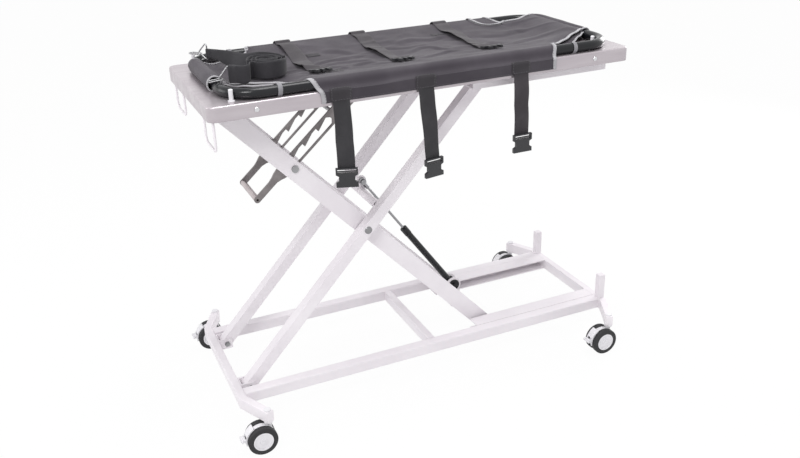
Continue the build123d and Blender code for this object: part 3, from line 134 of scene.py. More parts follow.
@dataclass(frozen=True)
class Finish:
    """One surface: colour, reflection and the marks left by how it was made.

    Lengths are in millimetres.
    """

    name: str
    colour: str
    shade: str
    roughness: float
    pattern: Pattern
    pitch: float
    depth: float
    metallic: float = 0.0
    spread: float = 0.06
    patch: float = 140.0
    sheen: float = 0.0
    specular: float = 0.5
    edge: float = 0.0

    def height(self, tree: bpy.types.NodeTree, coords: bpy.types.Node) -> bpy.types.NodeSocket:
        """Build the relief of the surface.

        Args:
            tree: the material's node tree.
            coords: its Texture Coordinate node.

        Returns:
            The socket that carries the relief, from 0 to 1.
        """
        pitch = self.pitch * MM
        if self.pattern is Pattern.BRUSHED:
            lines = add_node(tree, "ShaderNodeMapping", inputs={
                "Vector": coords.outputs["Object"],
                "Scale": (1 / (BRUSH_LENGTH * pitch), 1 / pitch, 1 / pitch)})
            return add_node(tree, "ShaderNodeTexNoise", inputs={
                "Vector": lines.outputs["Vector"], "Scale": 1.0, "Detail": 3.0}).outputs["Fac"]
        if self.pattern is Pattern.WEAVE:
            warp, weft = (add_node(
                tree, "ShaderNodeTexWave", {"wave_type": "BANDS", "bands_direction": way}, {
                    "Vector": coords.outputs["UV"], "Scale": wave_scale(self.pitch), "Distortion": 0.6,
                    "Detail": 1.0, "Detail Scale": 0.3}) for way in ("X", "Y"))
            return add_node(tree, "ShaderNodeMath", {"operation": "MAXIMUM"}, {
                0: warp.outputs["Fac"], 1: weft.outputs["Fac"]}).outputs["Value"]
        if self.pattern is Pattern.RIB:
            ribs, ends = (add_node(
                tree, "ShaderNodeTexWave", {"wave_type": "BANDS", "bands_direction": way}, {
                    "Vector": coords.outputs["UV"], "Scale": wave_scale(self.pitch * apart),
                    "Distortion": bent})
                for way, apart, bent in (("Y", 1.0, 0.4), ("X", ENDS_APART, 0.2)))
            return add_node(tree, "ShaderNodeMath", {"operation": "MULTIPLY_ADD"}, {
                0: ends.outputs["Fac"], 1: ENDS_SHARE, 2: ribs.outputs["Fac"]}).outputs["Value"]
        detail = 1.5 if self.pattern is Pattern.PEEL else 5.0
        return add_node(tree, "ShaderNodeTexNoise", inputs={
            "Vector": coords.outputs["Object"], "Scale": 1 / pitch, "Detail": detail}).outputs["Fac"]

    def material(self) -> bpy.types.Material:
        """Make the finish's material, once.

        Returns:
            The material, with colour, roughness and relief from its nodes.
        """
        known = bpy.data.materials.get(self.name)
        if known:
            return known
        made = bpy.data.materials.new(self.name)
        made.use_nodes = True
        tree = made.node_tree
        tree.nodes.clear()
        coords = add_node(tree, "ShaderNodeTexCoord")
        relief = self.height(tree, coords)
        patch = self.patch * MM
        drawn = BRUSH_DRIFT if self.pattern is Pattern.BRUSHED else 1.0
        drift = add_node(tree, "ShaderNodeMapping", inputs={
            "Vector": coords.outputs["Object"], "Scale": (1 / patch, drawn / patch, drawn / patch)})
        slow = add_node(tree, "ShaderNodeTexNoise", inputs={
            "Vector": drift.outputs["Vector"], "Scale": 1.0, "Detail": 4.0})
        tone = add_node(tree, "ShaderNodeMapRange", inputs={
            "Value": slow.outputs["Fac"], "From Min": 0.36, "From Max": 0.64})
        worn = add_node(tree, "ShaderNodeMath", {"operation": "MULTIPLY_ADD", "use_clamp": True}, {
            0: relief, 1: RELIEF_TONE, 2: tone.outputs["Result"]})
        colour = add_node(tree, "ShaderNodeMix", {"data_type": "RGBA"}, {
            0: worn.outputs["Value"], 6: linear(self.colour), 7: linear(self.shade)})
        rough = add_node(tree, "ShaderNodeMapRange", inputs={
            "Value": worn.outputs["Value"], "To Min": self.roughness - self.spread,
            "To Max": self.roughness + self.spread})
        bump = add_node(tree, "ShaderNodeBump", inputs={
            "Height": relief, "Distance": self.depth * MM, "Strength": 1.0})
        if self.edge:
            broken = add_node(tree, "ShaderNodeBevel", {"samples": 6}, {"Radius": self.edge * MM})
            tree.links.new(broken.outputs["Normal"], bump.inputs["Normal"])
        shader = add_node(tree, "ShaderNodeBsdfPrincipled", inputs={
            "Base Color": colour.outputs[2], "Roughness": rough.outputs["Result"],
            "Metallic": self.metallic, "Normal": bump.outputs["Normal"], "Specular IOR Level": self.specular,
            "Sheen Weight": self.sheen, "Sheen Roughness": 0.5})
        add_node(tree, "ShaderNodeOutputMaterial", inputs={"Surface": shader.outputs["BSDF"]})
        return made


# Polyester powder coat baked on mild steel: an even white skin with a faint orange peel and soft gloss
POWDER_COAT = Finish("baked_powder_coat", "#F4F0F3", "#EDE8EC", 0.34, Pattern.PEEL, 2.2, 0.03, spread=0.05,
                     edge=0.7)
# Stainless steel sheet, pressed and satin brushed along its length: pale grey with fine drawn lines
SATIN_SHEET = Finish("satin_stainless_sheet", "#C6BFC3", "#BAB2B7", 0.32, Pattern.BRUSHED, 0.9, 0.015,
                     metallic=0.6, spread=0.035, patch=220.0, edge=1.5)
# Zinc plated steel, turned or cold headed: bright, slightly cool, with small smudges
ZINC_STEEL = Finish("bright_zinc_plate", "#A6A6A8", "#8A8A8C", 0.2, Pattern.GRAIN, 1.2, 0.01, metallic=1.0,
                    edge=0.6)
# Chrome plated dome nuts, cold headed and polished: small bright caps with a clear glint
BOLT_CHROME = Finish("polished_chrome_cap", "#E2E2E4", "#CBCBCE", 0.14, Pattern.GRAIN, 0.8, 0.006,
                     metallic=1.0, edge=0.8)
# Mild steel plate, laser cut and galvanised: dull mid grey with a drifting crystal tone
RACK_STEEL = Finish("galvanised_plate", "#918C8C", "#7C7778", 0.42, Pattern.GRAIN, 1.6, 0.02, metallic=1.0,
                    spread=0.08, patch=40.0, edge=0.5)
# Aluminium tube, drawn and left bare: pale, soft silver
BARE_ALUMINIUM = Finish("drawn_bare_aluminium", "#C9C0C1", "#B9B0B1", 0.38, Pattern.GRAIN, 1.0, 0.02,
                        metallic=1.0, patch=50.0, edge=0.5)
# Glass filled nylon, moulded: plain white with a very fine spark grain
WHITE_NYLON = Finish("moulded_white_nylon", "#EFEEF0", "#E7E6E9", 0.4, Pattern.GRAIN, 0.7, 0.02, edge=0.8)
# Acetal rollers, turned: dark grey and slightly waxy
GREY_ACETAL = Finish("turned_grey_acetal", "#4C4C50", "#434347", 0.4, Pattern.GRAIN, 0.7, 0.02, edge=0.5)
# Thermoplastic rubber, moulded on the hub: soft black with a dusty tread
TYRE_RUBBER = Finish("moulded_tyre_rubber", "#1B1B1D", "#2A2A2C", 0.62, Pattern.GRAIN, 1.1, 0.06, spread=0.1)
# Stoving enamel on steel tube: deep black with a clear reflection along its length
BLACK_ENAMEL = Finish("stoved_black_enamel", "#141518", "#1A1B1F", 0.2, Pattern.PEEL, 2.6, 0.03, spread=0.04,
                      specular=0.35)
# Hard chrome on a ground rod: a clear mirror with the finest grinding lines
ROD_CHROME = Finish("ground_chrome_rod", "#A2A2A4", "#8F8F92", 0.12, Pattern.GRAIN, 0.6, 0.004, metallic=1.0,
                    spread=0.03)
# Coated polyester oxford cloth: charcoal, with a plain weave drawn coarser than its 0.5 mm threads to show
OXFORD_CLOTH = Finish("coated_oxford_cloth", "#443F46", "#3A353C", 0.64, Pattern.WEAVE, 1.7, 0.12, sheen=0.1,
                      spread=0.06, patch=90.0, specular=0.36)
# The same cloth in a second layer, pressed and darker from handling
PATCH_CLOTH = Finish("doubled_oxford_cloth", "#39363A", "#312E32", 0.68, Pattern.WEAVE, 1.7, 0.12, sheen=0.12,
                     spread=0.06, patch=60.0, specular=0.35)
# Polypropylene webbing, loom woven: near black with close cross ribs
WEBBING = Finish("ribbed_webbing", "#38373A", "#2E2D30", 0.7, Pattern.RIB, 2.2, 0.18, sheen=0.1,
                 patch=60.0, specular=0.4)
# The same webbing kept rolled and clean: a little blacker
COIL_WEBBING = Finish("rolled_webbing", "#363539", "#2C2B2F", 0.66, Pattern.RIB, 2.2, 0.18, sheen=0.1,
                      patch=60.0, specular=0.4)
# Nylon webbing, loom woven and worn soft: dark brownish grey with close cross ribs
STRAP_WEBBING = Finish("worn_flat_webbing", "#413D41", "#373337", 0.7, Pattern.RIB, 2.2, 0.16, sheen=0.12,
                       patch=70.0, specular=0.35)
# Grosgrain binding tape: light grey, finely ribbed, sewn over the raw edges
BINDING_TAPE = Finish("grosgrain_binding", "#B8B7BA", "#A8A7AA", 0.7, Pattern.RIB, 1.4, 0.1, sheen=0.1,
                      patch=30.0)
# The same tape wound flat round the frame tube, greyer from handling
BAND_TAPE = Finish("wound_grosgrain", "#929195", "#838286", 0.7, Pattern.RIB, 1.4, 0.1, sheen=0.1,
                   patch=30.0)
# Acetal, injection moulded: black with a slight shine on its flats
BLACK_ACETAL = Finish("moulded_black_acetal", "#262629", "#303033", 0.3, Pattern.GRAIN, 0.6, 0.02,
                      spread=0.08, edge=0.8)
# Spun polyester thread: a dull dark grey cord
SEWING_THREAD = Finish("polyester_thread", "#6B696D", "#5C5A5E", 0.75, Pattern.GRAIN, 0.5, 0.02)

SLOT_FINISH: dict[str, Finish] = {
    "white_paint": POWDER_COAT,
    "table_sheet": SATIN_SHEET,
    "zinc_steel": ZINC_STEEL,
    "rack_steel": RACK_STEEL,
    "white_plastic": WHITE_NYLON,
    "grey_plastic": GREY_ACETAL,
    "tyre_rubber": TYRE_RUBBER,
    "black_paint": BLACK_ENAMEL,
    "rod_chrome": ROD_CHROME,
    "bed_cloth": OXFORD_CLOTH,
    "webbing": WEBBING,
    "black_plastic": BLACK_ACETAL,
}


def smooth_path(points: Sequence[Sequence[float]], steps: int) -> list[Vector]:
    """Draw a Catmull-Rom curve through given points.

    Args:
        points: points that the curve passes.
        steps: pieces between two neighbours.

    Returns:
        Points along the curve, ends included.
    """
    knots = [Vector(p) for p in points]
    knots = [2 * knots[0] - knots[1], *knots, 2 * knots[-1] - knots[-2]]
    path = []
    for a, b, c, d in zip(knots, knots[1:], knots[2:], knots[3:]):
        for i in range(steps):
            t = i / steps
            path.append(0.5 * (2 * b + (c - a) * t + (2 * a - 5 * b + 4 * c - d) * t ** 2
                               + (3 * b - a - 3 * c + d) * t ** 3))
    return [*path, knots[-2]]


def even_path(path: Sequence[Vector], count: int) -> list[Vector]:
    """Space points evenly along a path.

    Args:
        path: points of the path.
        count: number of points wanted.

    Returns:
        That many points, the ends of the path included.
    """
    lengths = [0.0]
    for a, b in zip(path, path[1:]):
        lengths.append(lengths[-1] + (b - a).length)
    spaced = []
    piece = 0
    for i in range(count):
        goal = lengths[-1] * i / (count - 1)
        while piece < len(path) - 2 and lengths[piece + 1] < goal:
            piece += 1
        run = lengths[piece + 1] - lengths[piece]
        spaced.append(path[piece].lerp(path[piece + 1], (goal - lengths[piece]) / run if run else 0.0))
    return spaced


def ease(value: float) -> float:
    """Smooth step from 0 to 1."""
    t = min(max(value, 0.0), 1.0)
    return t * t * (3 - 2 * t)


def between(table: Table, at: float) -> float:
    """Read a smooth value from a short table.

    Args:
        table: (place, value) pairs in rising order of place.
        at: place to read.

    Returns:
        The value there, eased between its neighbours.
    """
    if at <= table[0][0]:
        return table[0][1]
    for (a, low), (b, high) in zip(table, table[1:]):
        if at <= b:
            return low + (high - low) * ease((at - a) / (b - a))
    return table[-1][1]


def plan_way(heading: float) -> Vector:
    """Level direction at an angle in degrees."""
    a = math.radians(heading)
    return Vector((math.cos(a), math.sin(a), 0.0))


@dataclass
class Piece:
    """A mesh being built: points, faces and flat places for its weave, in metres."""

    name: str
    points: list[Vector] = field(default_factory=list)
    faces: list[tuple[int, ...]] = field(default_factory=list)
    flat: list[tuple[float, float]] = field(default_factory=list)

    def add_point(self, place: Vector, flat: tuple[float, float] = (0.0, 0.0)) -> int:
        """Add a point.

        Args:
            place: where it is.
            flat: where it lies on the flat cloth.

        Returns:
            Its number.
        """
        self.points.append(Vector(place))
        self.flat.append(flat)
        return len(self.points) - 1

    def add_grid(self, rows: Sequence[Sequence[Vector]], flat: Sequence[Table]) -> list[list[int]]:
        """Add a grid of points with quads between them.

        Args:
            rows: rows of points, all of one length.
            flat: flat place of each point.

        Returns:
            Numbers of the points, row by row.
        """
        numbers = [[self.add_point(p, f) for p, f in zip(row, places)] for row, places in zip(rows, flat)]
        for first, second in zip(numbers, numbers[1:]):
            for i in range(len(first) - 1):
                self.faces.append((first[i], first[i + 1], second[i + 1], second[i]))
        return numbers

    def flat_area(self) -> float:
        """Work out the area of the cut cloth from the flat places.

        Returns:
            The area, in square metres.
        """
        total = 0.0
        for face in self.faces:
            corners = [self.flat[i] for i in face]
            pairs = zip(corners, corners[1:] + corners[:1])
            total += abs(sum(a[0] * b[1] - b[0] * a[1] for a, b in pairs)) / 2
        return total

    def build(self, finish: Finish, body: str, slot: str, thick: float = 0.0,
              rounds: int = 1) -> bpy.types.Object:
        """Make the object, dress it and let it ride.

        Args:
            finish: surface of the piece.
            body: CAD body that carries it.
            slot: material slot of the record; not used.
            thick: thickness added to an open sheet, half of it on each face.
            rounds: levels of subdivision.

        Returns:
            The new object.
        """
        mesh = bpy.data.meshes.new(self.name)
        mesh.from_pydata([p[:] for p in self.points], [], self.faces)
        layer = mesh.uv_layers.new(name="flat")
        for loop in mesh.loops:
            layer.data[loop.index].uv = self.flat[loop.vertex_index]
        shape = bmesh.new()
        shape.from_mesh(mesh)
        bmesh.ops.recalc_face_normals(shape, faces=shape.faces)
        shape.to_mesh(mesh)
        shape.free()
        mesh.polygons.foreach_set("use_smooth", [True] * len(mesh.polygons))
        made = bpy.data.objects.new(self.name, mesh)
        bpy.context.scene.collection.objects.link(made)
        mesh.materials.append(finish.material())
        if thick:
            solid = made.modifiers.new("thickness", "SOLIDIFY")
            solid.thickness = thick
            solid.offset = 0.0
            solid.use_even_offset = True
        if rounds:
            subdivision = made.modifiers.new("rounding", "SUBSURF")
            subdivision.levels = rounds
            subdivision.render_levels = rounds
        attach(made, body)
        LOG.info("%s: %d points", self.name, len(self.points))
        return made


def strap_piece(name: str, spine: Sequence[Vector], across: Sequence[Vector], width: float,
                cuts: int = 6) -> Piece:
    """Lay out a flat strap along a line.

    Args:
        name: name of the piece.
        spine: points along the strap's middle.
        across: direction across the strap at each point, a unit long where the strap has its full width.
        width: width of the strap.
        cuts: divisions across.

    Returns:
        The strap as an open sheet.
    """
    piece = Piece(name)
    rows = []
    flat = []
    run = 0.0
    steps = [c / cuts - 0.5 for c in range(cuts + 1)]
    for i, (middle, way) in enumerate(zip(spine, across)):
        if i:
            run += (middle - spine[i - 1]).length
        rows.append([middle + way * width * s for s in steps])
        flat.append([(width * s, run) for s in steps])
    piece.add_grid(rows, flat)
    return piece


@dataclass(frozen=True)
class Places:
    """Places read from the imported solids, in metres."""

    mid_x: float
    table_top: float
    table_y: float
    skirt_bottom: float
    tube_r: float
    tube_z: float
    side_y: float
    left_x: float
    right_x: float

    @classmethod
    def read(cls) -> "Places":
        """Read the places from the table and the stretcher's frame tube.

        Returns:
            The places.
        """
        low, high = (Vector(c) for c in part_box("table_top"))
        tube_low, tube_high = (Vector(c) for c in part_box("stretcher_tube"))
        tube_r = (tube_high.z - tube_low.z) / 2
        return cls((low.x + high.x) / 2, high.z, high.y, low.z, tube_r, tube_low.z + tube_r,
                   tube_high.y - tube_r, tube_low.x + tube_r, tube_high.x - tube_r)


@dataclass
class Studio:
    """Camera, lamps, floor and white surround, in metres, degrees and watts."""

    places: Places
    eye: tuple[float, float, float] = (-0.90444, -2.03907, 1.3889)
    turn: float = -23.5
    tilt: float = -24.36
    roll: float = -1.91
    lens: float = 39.63
    sensor: float = 36.0
    aim: tuple[float, float, float] = (0.0, 0.0, 0.45)
    floor_reach: float = 14.0
    floor_glow: float = 0.965
    soft_light: float = 0.6
    lamps: tuple[tuple[str, tuple[float, float, float], float, float], ...] = (
        ("key", (-2.1, -2.3, 3.2), 1.3, 56.0),
        ("overhead", (0.2, -0.2, 3.4), 1.4, 42.0),
        ("low_right", (2.6, 0.95, 1.3), 1.2, 30.0),
        ("low_left", (-2.5, 1.0, 1.4), 1.2, 11.0))

    def camera(self) -> None:
        """Set up the camera at the photograph's viewing angle."""
        turn, tilt, roll = (math.radians(a) for a in (self.turn, self.tilt, self.roll))
        ahead = Vector((-math.sin(turn) * math.cos(tilt), math.cos(turn) * math.cos(tilt), math.sin(tilt)))
        right = Vector((math.cos(turn), math.sin(turn), 0.0))
        above = right.cross(ahead)
        level = math.cos(roll) * right + math.sin(roll) * above
        upright = math.cos(roll) * above - math.sin(roll) * right
        data = bpy.data.cameras.new("photo_camera")
        data.lens = self.lens
        data.sensor_width = self.sensor
        data.sensor_fit = "HORIZONTAL"
        seat = Matrix((level, upright, -ahead)).transposed().to_4x4()
        stand = Vector(self.eye) + Vector((self.places.mid_x, 0.0, 0.0))
        made = bpy.data.objects.new("photo_camera", data)
        made.matrix_world = Matrix.Translation(stand) @ seat
        bpy.context.scene.collection.objects.link(made)
        bpy.context.scene.camera = made

    def lamp(self, name: str, place: tuple[float, float, float], size: float, power: float) -> None:
        """Hang one soft lamp that looks at the middle of the object.

        Args:
            name: name of the lamp.
            place: where it hangs.
            size: side of its square face.
            power: its power.
        """
        data = bpy.data.lights.new(name, "AREA")
        data.size = size
        data.energy = power
        made = bpy.data.objects.new(name, data)
        made.location = place
        made.rotation_euler = (Vector(self.aim) - Vector(place)).to_track_quat("-Z", "Y").to_euler()
        bpy.context.scene.collection.objects.link(made)

    def shown(self, tree: bpy.types.NodeTree) -> bpy.types.NodeSocket:
        """Say which rays see the white surround: from the camera, mirrors and clear pieces.

        Args:
            tree: node tree of the floor or the world.

        Returns:
            A socket that is 1 for those rays.
        """
        rays = add_node(tree, "ShaderNodeLightPath")
        first = add_node(tree, "ShaderNodeMath", {"operation": "MAXIMUM"}, {
            0: rays.outputs["Is Camera Ray"], 1: rays.outputs["Is Glossy Ray"]})
        return add_node(tree, "ShaderNodeMath", {"operation": "MAXIMUM"}, {
            0: first.outputs["Value"], 1: rays.outputs["Is Transmission Ray"]}).outputs["Value"]

    def floor(self) -> None:
        """Lay a pale floor that keeps the object's shadow."""
        mesh = bpy.data.meshes.new("floor")
        far = self.floor_reach
        mesh.from_pydata([(-far, -far, 0), (far, -far, 0), (far, far, 0), (-far, far, 0)], [], [(0, 1, 2, 3)])
        made = bpy.data.objects.new("floor", mesh)
        bpy.context.scene.collection.objects.link(made)
        # Matt white paint on board: it takes the shadow, and most of it glows plain white
        paint = bpy.data.materials.new("white_floor")
        paint.use_nodes = True
        tree = paint.node_tree
        tree.nodes.clear()
        matt = add_node(tree, "ShaderNodeBsdfDiffuse", inputs={"Color": linear("#F2F2F2")})
        glow = add_node(tree, "ShaderNodeEmission", inputs={"Color": linear("#FFFFFF"), "Strength": 1.0})
        pale = add_node(tree, "ShaderNodeMixShader", inputs={
            0: self.floor_glow, 1: matt.outputs["BSDF"], 2: glow.outputs["Emission"]})
        seen = add_node(tree, "ShaderNodeMixShader", inputs={
            0: self.shown(tree), 1: matt.outputs["BSDF"], 2: pale.outputs["Shader"]})
        add_node(tree, "ShaderNodeOutputMaterial", inputs={"Surface": seen.outputs["Shader"]})
        mesh.materials.append(paint)

    def world(self) -> None:
        """Surround the object with white and soft light."""
        made = bpy.data.worlds.new("studio")
        made.use_nodes = True
        tree = made.node_tree
        tree.nodes.clear()
        soft, white = (
            add_node(tree, "ShaderNodeBackground", inputs={"Color": linear(code), "Strength": power})
            for code, power in (("#F4F3F6", self.soft_light), ("#FFFFFF", 1.0)))
        seen = add_node(tree, "ShaderNodeMixShader", inputs={
            0: self.shown(tree), 1: soft.outputs["Background"], 2: white.outputs["Background"]})
        add_node(tree, "ShaderNodeOutputWorld", inputs={"Surface": seen.outputs["Shader"]})
        bpy.context.scene.world = made

    def build(self) -> None:
        """Set up everything round the object."""
        self.camera()
        self.floor()
        self.world()
        for name, place, size, power in self.lamps:
            self.lamp(name, place, size, power)
        bpy.context.scene.view_settings.view_transform = "Standard"


@dataclass
class Metalwork:
    """The rigid pieces: every CAD node gets the finish of its record slot, or its own."""

    special: dict[str, Finish] = field(default_factory=lambda: {
        "rack_handle": BARE_ALUMINIUM, "skirt_bolts": BOLT_CHROME, "head_bolts": BOLT_CHROME})

    def build(self) -> None:
        """Dress the CAD nodes."""
        for entry in frame["record"]["subparts"]:
            name = entry["node"]
            node = frame["nodes"][name]
            finish = self.special.get(name, SLOT_FINISH[entry["material_slot"]])
            node.data.materials.clear()
            node.data.materials.append(finish.material())
            LOG.info("%s wears %s", name, finish.name)


@dataclass
class Edge:
    """A cloth edge: its points, the way off the cloth and the way up at each."""

    points: list[Vector] = field(default_factory=list)
    off: list[Vector] = field(default_factory=list)
    up: list[Vector] = field(default_factory=list)

    def add(self, point: Vector, off: Vector, up: Vector) -> None:
        """Add one point with its ways.

        Args:
            point: where it is.
            off: unit way off the cloth.
            up: unit way up from the cloth.
        """
        self.points.append(point)
        self.off.append(off)
        self.up.append(up)

    def fold_over(self, name: str, turn: Table, pitch: float) -> Piece:
        """Fold a tape over the edge.

        Args:
            name: name of the piece.
            turn: section of the tape, as places off and up.
            pitch: flat distance between two places of the section.

        Returns:
            The tape as an open sheet.
        """
        piece = Piece(name)
        rows = []
        flat = []
        run = 0.0
        for i, (point, off, up) in enumerate(zip(self.points, self.off, self.up)):
            if i:
                run += (point - self.points[i - 1]).length
            rows.append([point + off * a + up * b for a, b in turn])
            flat.append([(pitch * k, run) for k in range(len(turn))])
        piece.add_grid(rows, flat)
        return piece


@dataclass(frozen=True)
class Ripple:
    """Smooth noise over the bed: waves per metre along and across it, and the cut through the noise.

    The slant adds waves across for each metre along, the shift starts the noise elsewhere, and the height is
    in millimetres.
    """

    along: float
    across: float
    cut: float
    height: float
    slant: float = 0.0
    shift: float = 0.0

    def at(self, x: float, y: float) -> float:
        """Bare noise at a place, from -1 to 1."""
        return noise.noise(Vector((x * self.along + self.shift, y * self.across + x * self.slant, self.cut)))

    def rise(self, x: float, y: float) -> float:
        """Height of the waves at a place."""
        return self.height * self.at(x, y)


@dataclass(frozen=True)
class Fold:
    """A crease in the bed: its line from the bed's middle, its height and its half width, in millimetres.

    The fade is a share of the line, in which the crease dies out at each end. The slopes, steep on the near
    side and soft on the far side, and the valley in front of them are shares of the half width.
    """

    line: Table
    height: float
    width: float
    fade: float = 0.22
    near_slope: float = 0.6
    far_slope: float = 1.3
    valley_deep: float = 0.45
    valley_at: float = 1.3
    valley_wide: float = 0.6

    def rise(self, x: float, y: float) -> float:
        """Height of the crease, steep toward the near side and dying out at both ends.

        Args:
            x: place along the bed.
            y: place across it.

        Returns:
            The height there.
        """
        long = sum(math.dist(a, b) for a, b in zip(self.line, self.line[1:]))
        nearest, below, share = math.inf, False, 0.0
        before = 0.0
        for (ax, ay), (bx, by) in zip(self.line, self.line[1:]):
            run = math.hypot(bx - ax, by - ay)
            t = min(max(((x - ax) * (bx - ax) + (y - ay) * (by - ay)) / run ** 2, 0.0), 1.0)
            dx, dy = x - ax - t * (bx - ax), y - ay - t * (by - ay)
            if math.hypot(dx, dy) < nearest:
                nearest, below, share = math.hypot(dx, dy), dy < 0, (before + t * run) / long
            before += run
        height = self.height * ease(min(share, 1 - share) / self.fade)
        out = nearest / self.width
        if not below:
            return height * math.exp(-(out / self.far_slope) ** 2)
        valley = self.valley_deep * math.exp(-((out - self.valley_at) / self.valley_wide) ** 2)
        return height * (math.exp(-(out / self.near_slope) ** 2) - valley)


BED_FOLDS = (
    Fold(((-243, -6), (-192, 22), (-145, 12), (-79, 27)), 4.2, 8.0),
    Fold(((-238, -38), (-176, -18), (-135, -24), (-86, -50)), 3.8, 7.5),
    Fold(((-216, -104), (-130, -67), (-80, -66)), 3.6, 8.0),
    Fold(((-185, 104), (-135, 90), (-95, 58)), 3.0, 11.0),
    Fold(((8, 80), (77, 98), (123, 84), (196, 106)), 4.4, 9.0),
    Fold(((12, -16), (62, 22), (89, 12), (106, -21), (124, -56)), 4.2, 8.0),
    Fold(((-8, -106), (48, -82), (104, -64), (162, -88)), 4.2, 7.0),
    Fold(((240, 62), (320, 46), (420, 70)), 3.4, 13.0),
    Fold(((246, -74), (340, -44), (455, -28)), 3.0, 12.0),
    Fold(((-30, 60), (40, 44), (110, 52)), 2.8, 9.0),
)

# Half width of the bed beyond a skirt's end, as distances and half widths in millimetres
NECKS: dict[tuple[Side, End], Table] = {
    (Side.NEAR, End.LEFT): ((48, 132), (72, 111), (110, 97), (155, 84), (196, 84)),
    (Side.FAR, End.LEFT): ((50, 160), (82, 151), (158, 136)),
    (Side.NEAR, End.RIGHT): ((34, 152), (90, 124), (135, 102), (174, 80)),
    (Side.FAR, End.RIGHT): ((24, 147), (44, 149), (82, 146), (122, 162), (147, 172)),
}


@dataclass
class Bed:
    """Stretched cloth between the frame tubes, with skirts and hand holes.

    The left and right fields shape the cloth at its ends, the ripples are its folds, the calm and pull fields
    are its gathers at the buckles, and the swing and crease fields move the skirts.
    """

    places: Places
    cloth: float = 1.8 * MM
    sag: float = 20.0 * MM
    hole_left: float = 205.5 * MM
    hole_right: float = 184.0 * MM
    far_left: float = 38.0 * MM
    far_right: float = 26.0 * MM
    lean_left: float = 25.0 * MM
    lean_right: float = 14.0 * MM
    lean_speed: tuple[float, float] = (1.1, 1.4)
    lean_columns: tuple[int, int] = (8, 6)
    skirt_off: float = 2.6 * MM
    hem: float = 7.0 * MM
    hem_out: float = 0.6 * MM
    hem_stitch: float = 1.5 * MM
    flat_in: float = 13.0 * MM
    tube_clear: float = 0.6 * MM
    table_clear: float = 1.7 * MM
    cut_left: float = 10.0 * MM
    cut_right: float = 9.0 * MM
    sag_shape: Table = ((0.0, 0.0), (0.3, 0.08), (0.55, 0.34), (0.78, 0.72))
    tube_angles: tuple[float, ...] = (105, 78, 50, 24)
    fall_shape: Table = ((-8.4, 10.0), (-4.6, 3.6), (0.4, -0.2), (1.2, -3.2), (0.0, -10.0))
    strap_places: tuple[float, float, float] = (40.0 * MM, -40.0 * MM, -117.0 * MM)
    columns: int = 150
    flat_rows: int = 56
    skirt_rows: int = 20
    hole_blend: float = 120.0 * MM
    left_in: float = 12.0 * MM
    left_loose: float = 56.0 * MM
    left_rest: float = 6.8 * MM
    left_tuck: float = 5.0 * MM
    right_loose: float = 90.0 * MM
    right_side: float = 60.0 * MM
    right_rest: float = 12.0 * MM
    right_rise: float = 130.0 * MM
    end_hold: float = 36.0 * MM
    side_hold: tuple[float, float] = (6.0 * MM, 42.0 * MM)
    sway: Ripple = Ripple(5, 4, 9.2, 30.0)
    broad: Ripple = Ripple(6, 9, 1.3, 2.8)
    drawn: Ripple = Ripple(5.5, 20, 3.1, 3.0, slant=3.0)
    ridge: Ripple = Ripple(4.2, 13, 7.7, 2.4, slant=-2.4, shift=1.7)
    pinch: Ripple = Ripple(3.1, 10, 5.9, 3.0, slant=1.8, shift=4.4)
    pinch_wide: float = 0.085
    pinch_some: Ripple = Ripple(5, 6, 2.7, 1.6)
    fine: Ripple = Ripple(36, 46, 1.3, 0.6)
    buckle_y: float = -112.0 * MM
    buckle_calm: float = 0.25
    calm_zone: tuple[float, float] = (24.0 * MM, 40.0 * MM)
    pull_high: float = 2.6
    pull_rays: int = 7
    pull_turn: float = 2.2
    pull_zone: tuple[float, float] = (22.0 * MM, 24.0 * MM)
    pull_fade: float = 70.0 * MM
    swing: float = 1.8 * MM
    flutter: float = 0.7 * MM
    swing_in: float = 0.8 * MM
    crease: float = 2.4 * MM
    crease_at: float = 0.55
    crease_wide: float = 0.16
    seam_in: float = 10.0 * MM
    seam_off: float = 1.4 * MM
    seam_steps: int = 120
    join_share: float = 0.66
    inside: float = 40.0 * MM
    edges: dict[str, Edge] = field(default_factory=dict)
    hems: dict[Side, list[Vector]] = field(default_factory=dict)

    def __post_init__(self) -> None:
        """Work out the places that depend on the frame tube."""
        p = self.places
        self.skirt_left = p.left_x + self.hole_left
        self.skirt_right = p.right_x - self.hole_right
        self.starts = {Side.NEAR: self.skirt_left, Side.FAR: self.skirt_left - self.far_left}
        self.ends = {Side.NEAR: self.skirt_right, Side.FAR: self.skirt_right + self.far_right}
        self.full = p.side_y - self.flat_in
        self.reach = p.tube_r + self.tube_clear + self.cloth / 2
        self.crest = p.tube_z + self.reach
        self.strap_x = tuple(x + by for x, by in zip((self.skirt_left, p.mid_x, self.skirt_right),
                                                     self.strap_places))
        self.half = self.half_profile()
        split = next(i for i, q in enumerate(self.half) if q.x >= self.full)
        skirt = [Vector((self.full, self.profile_z(self.full), 0.0)), *self.half[split:]]
        self.fall = sum((b - a).length for a, b in zip(skirt, skirt[1:]))
        self.drop = even_path(skirt, 12 * self.skirt_rows + 1)

    def half_profile(self) -> list[Vector]:
        """Draw half of the bed's section, from its middle over the tube and down the skirt.

        Returns:
            Points with the place across as x and the height as y.
        """
        p = self.places
        middle = self.crest - self.sag
        knots = [(p.side_y * out, middle + self.sag * up) for out, up in self.sag_shape]
        for angle in self.tube_angles:
            a = math.radians(angle)
            knots.append((p.side_y + self.reach * math.cos(a), p.tube_z + self.reach * math.sin(a)))
        outside = p.table_y + self.skirt_off
        knots += [(outside + y * MM, p.table_top + z * MM) for y, z in self.fall_shape]
        knots.append((outside + self.hem_out, p.skirt_bottom + self.hem))
        return smooth_path([(y, z, 0.0) for y, z in knots], 16)

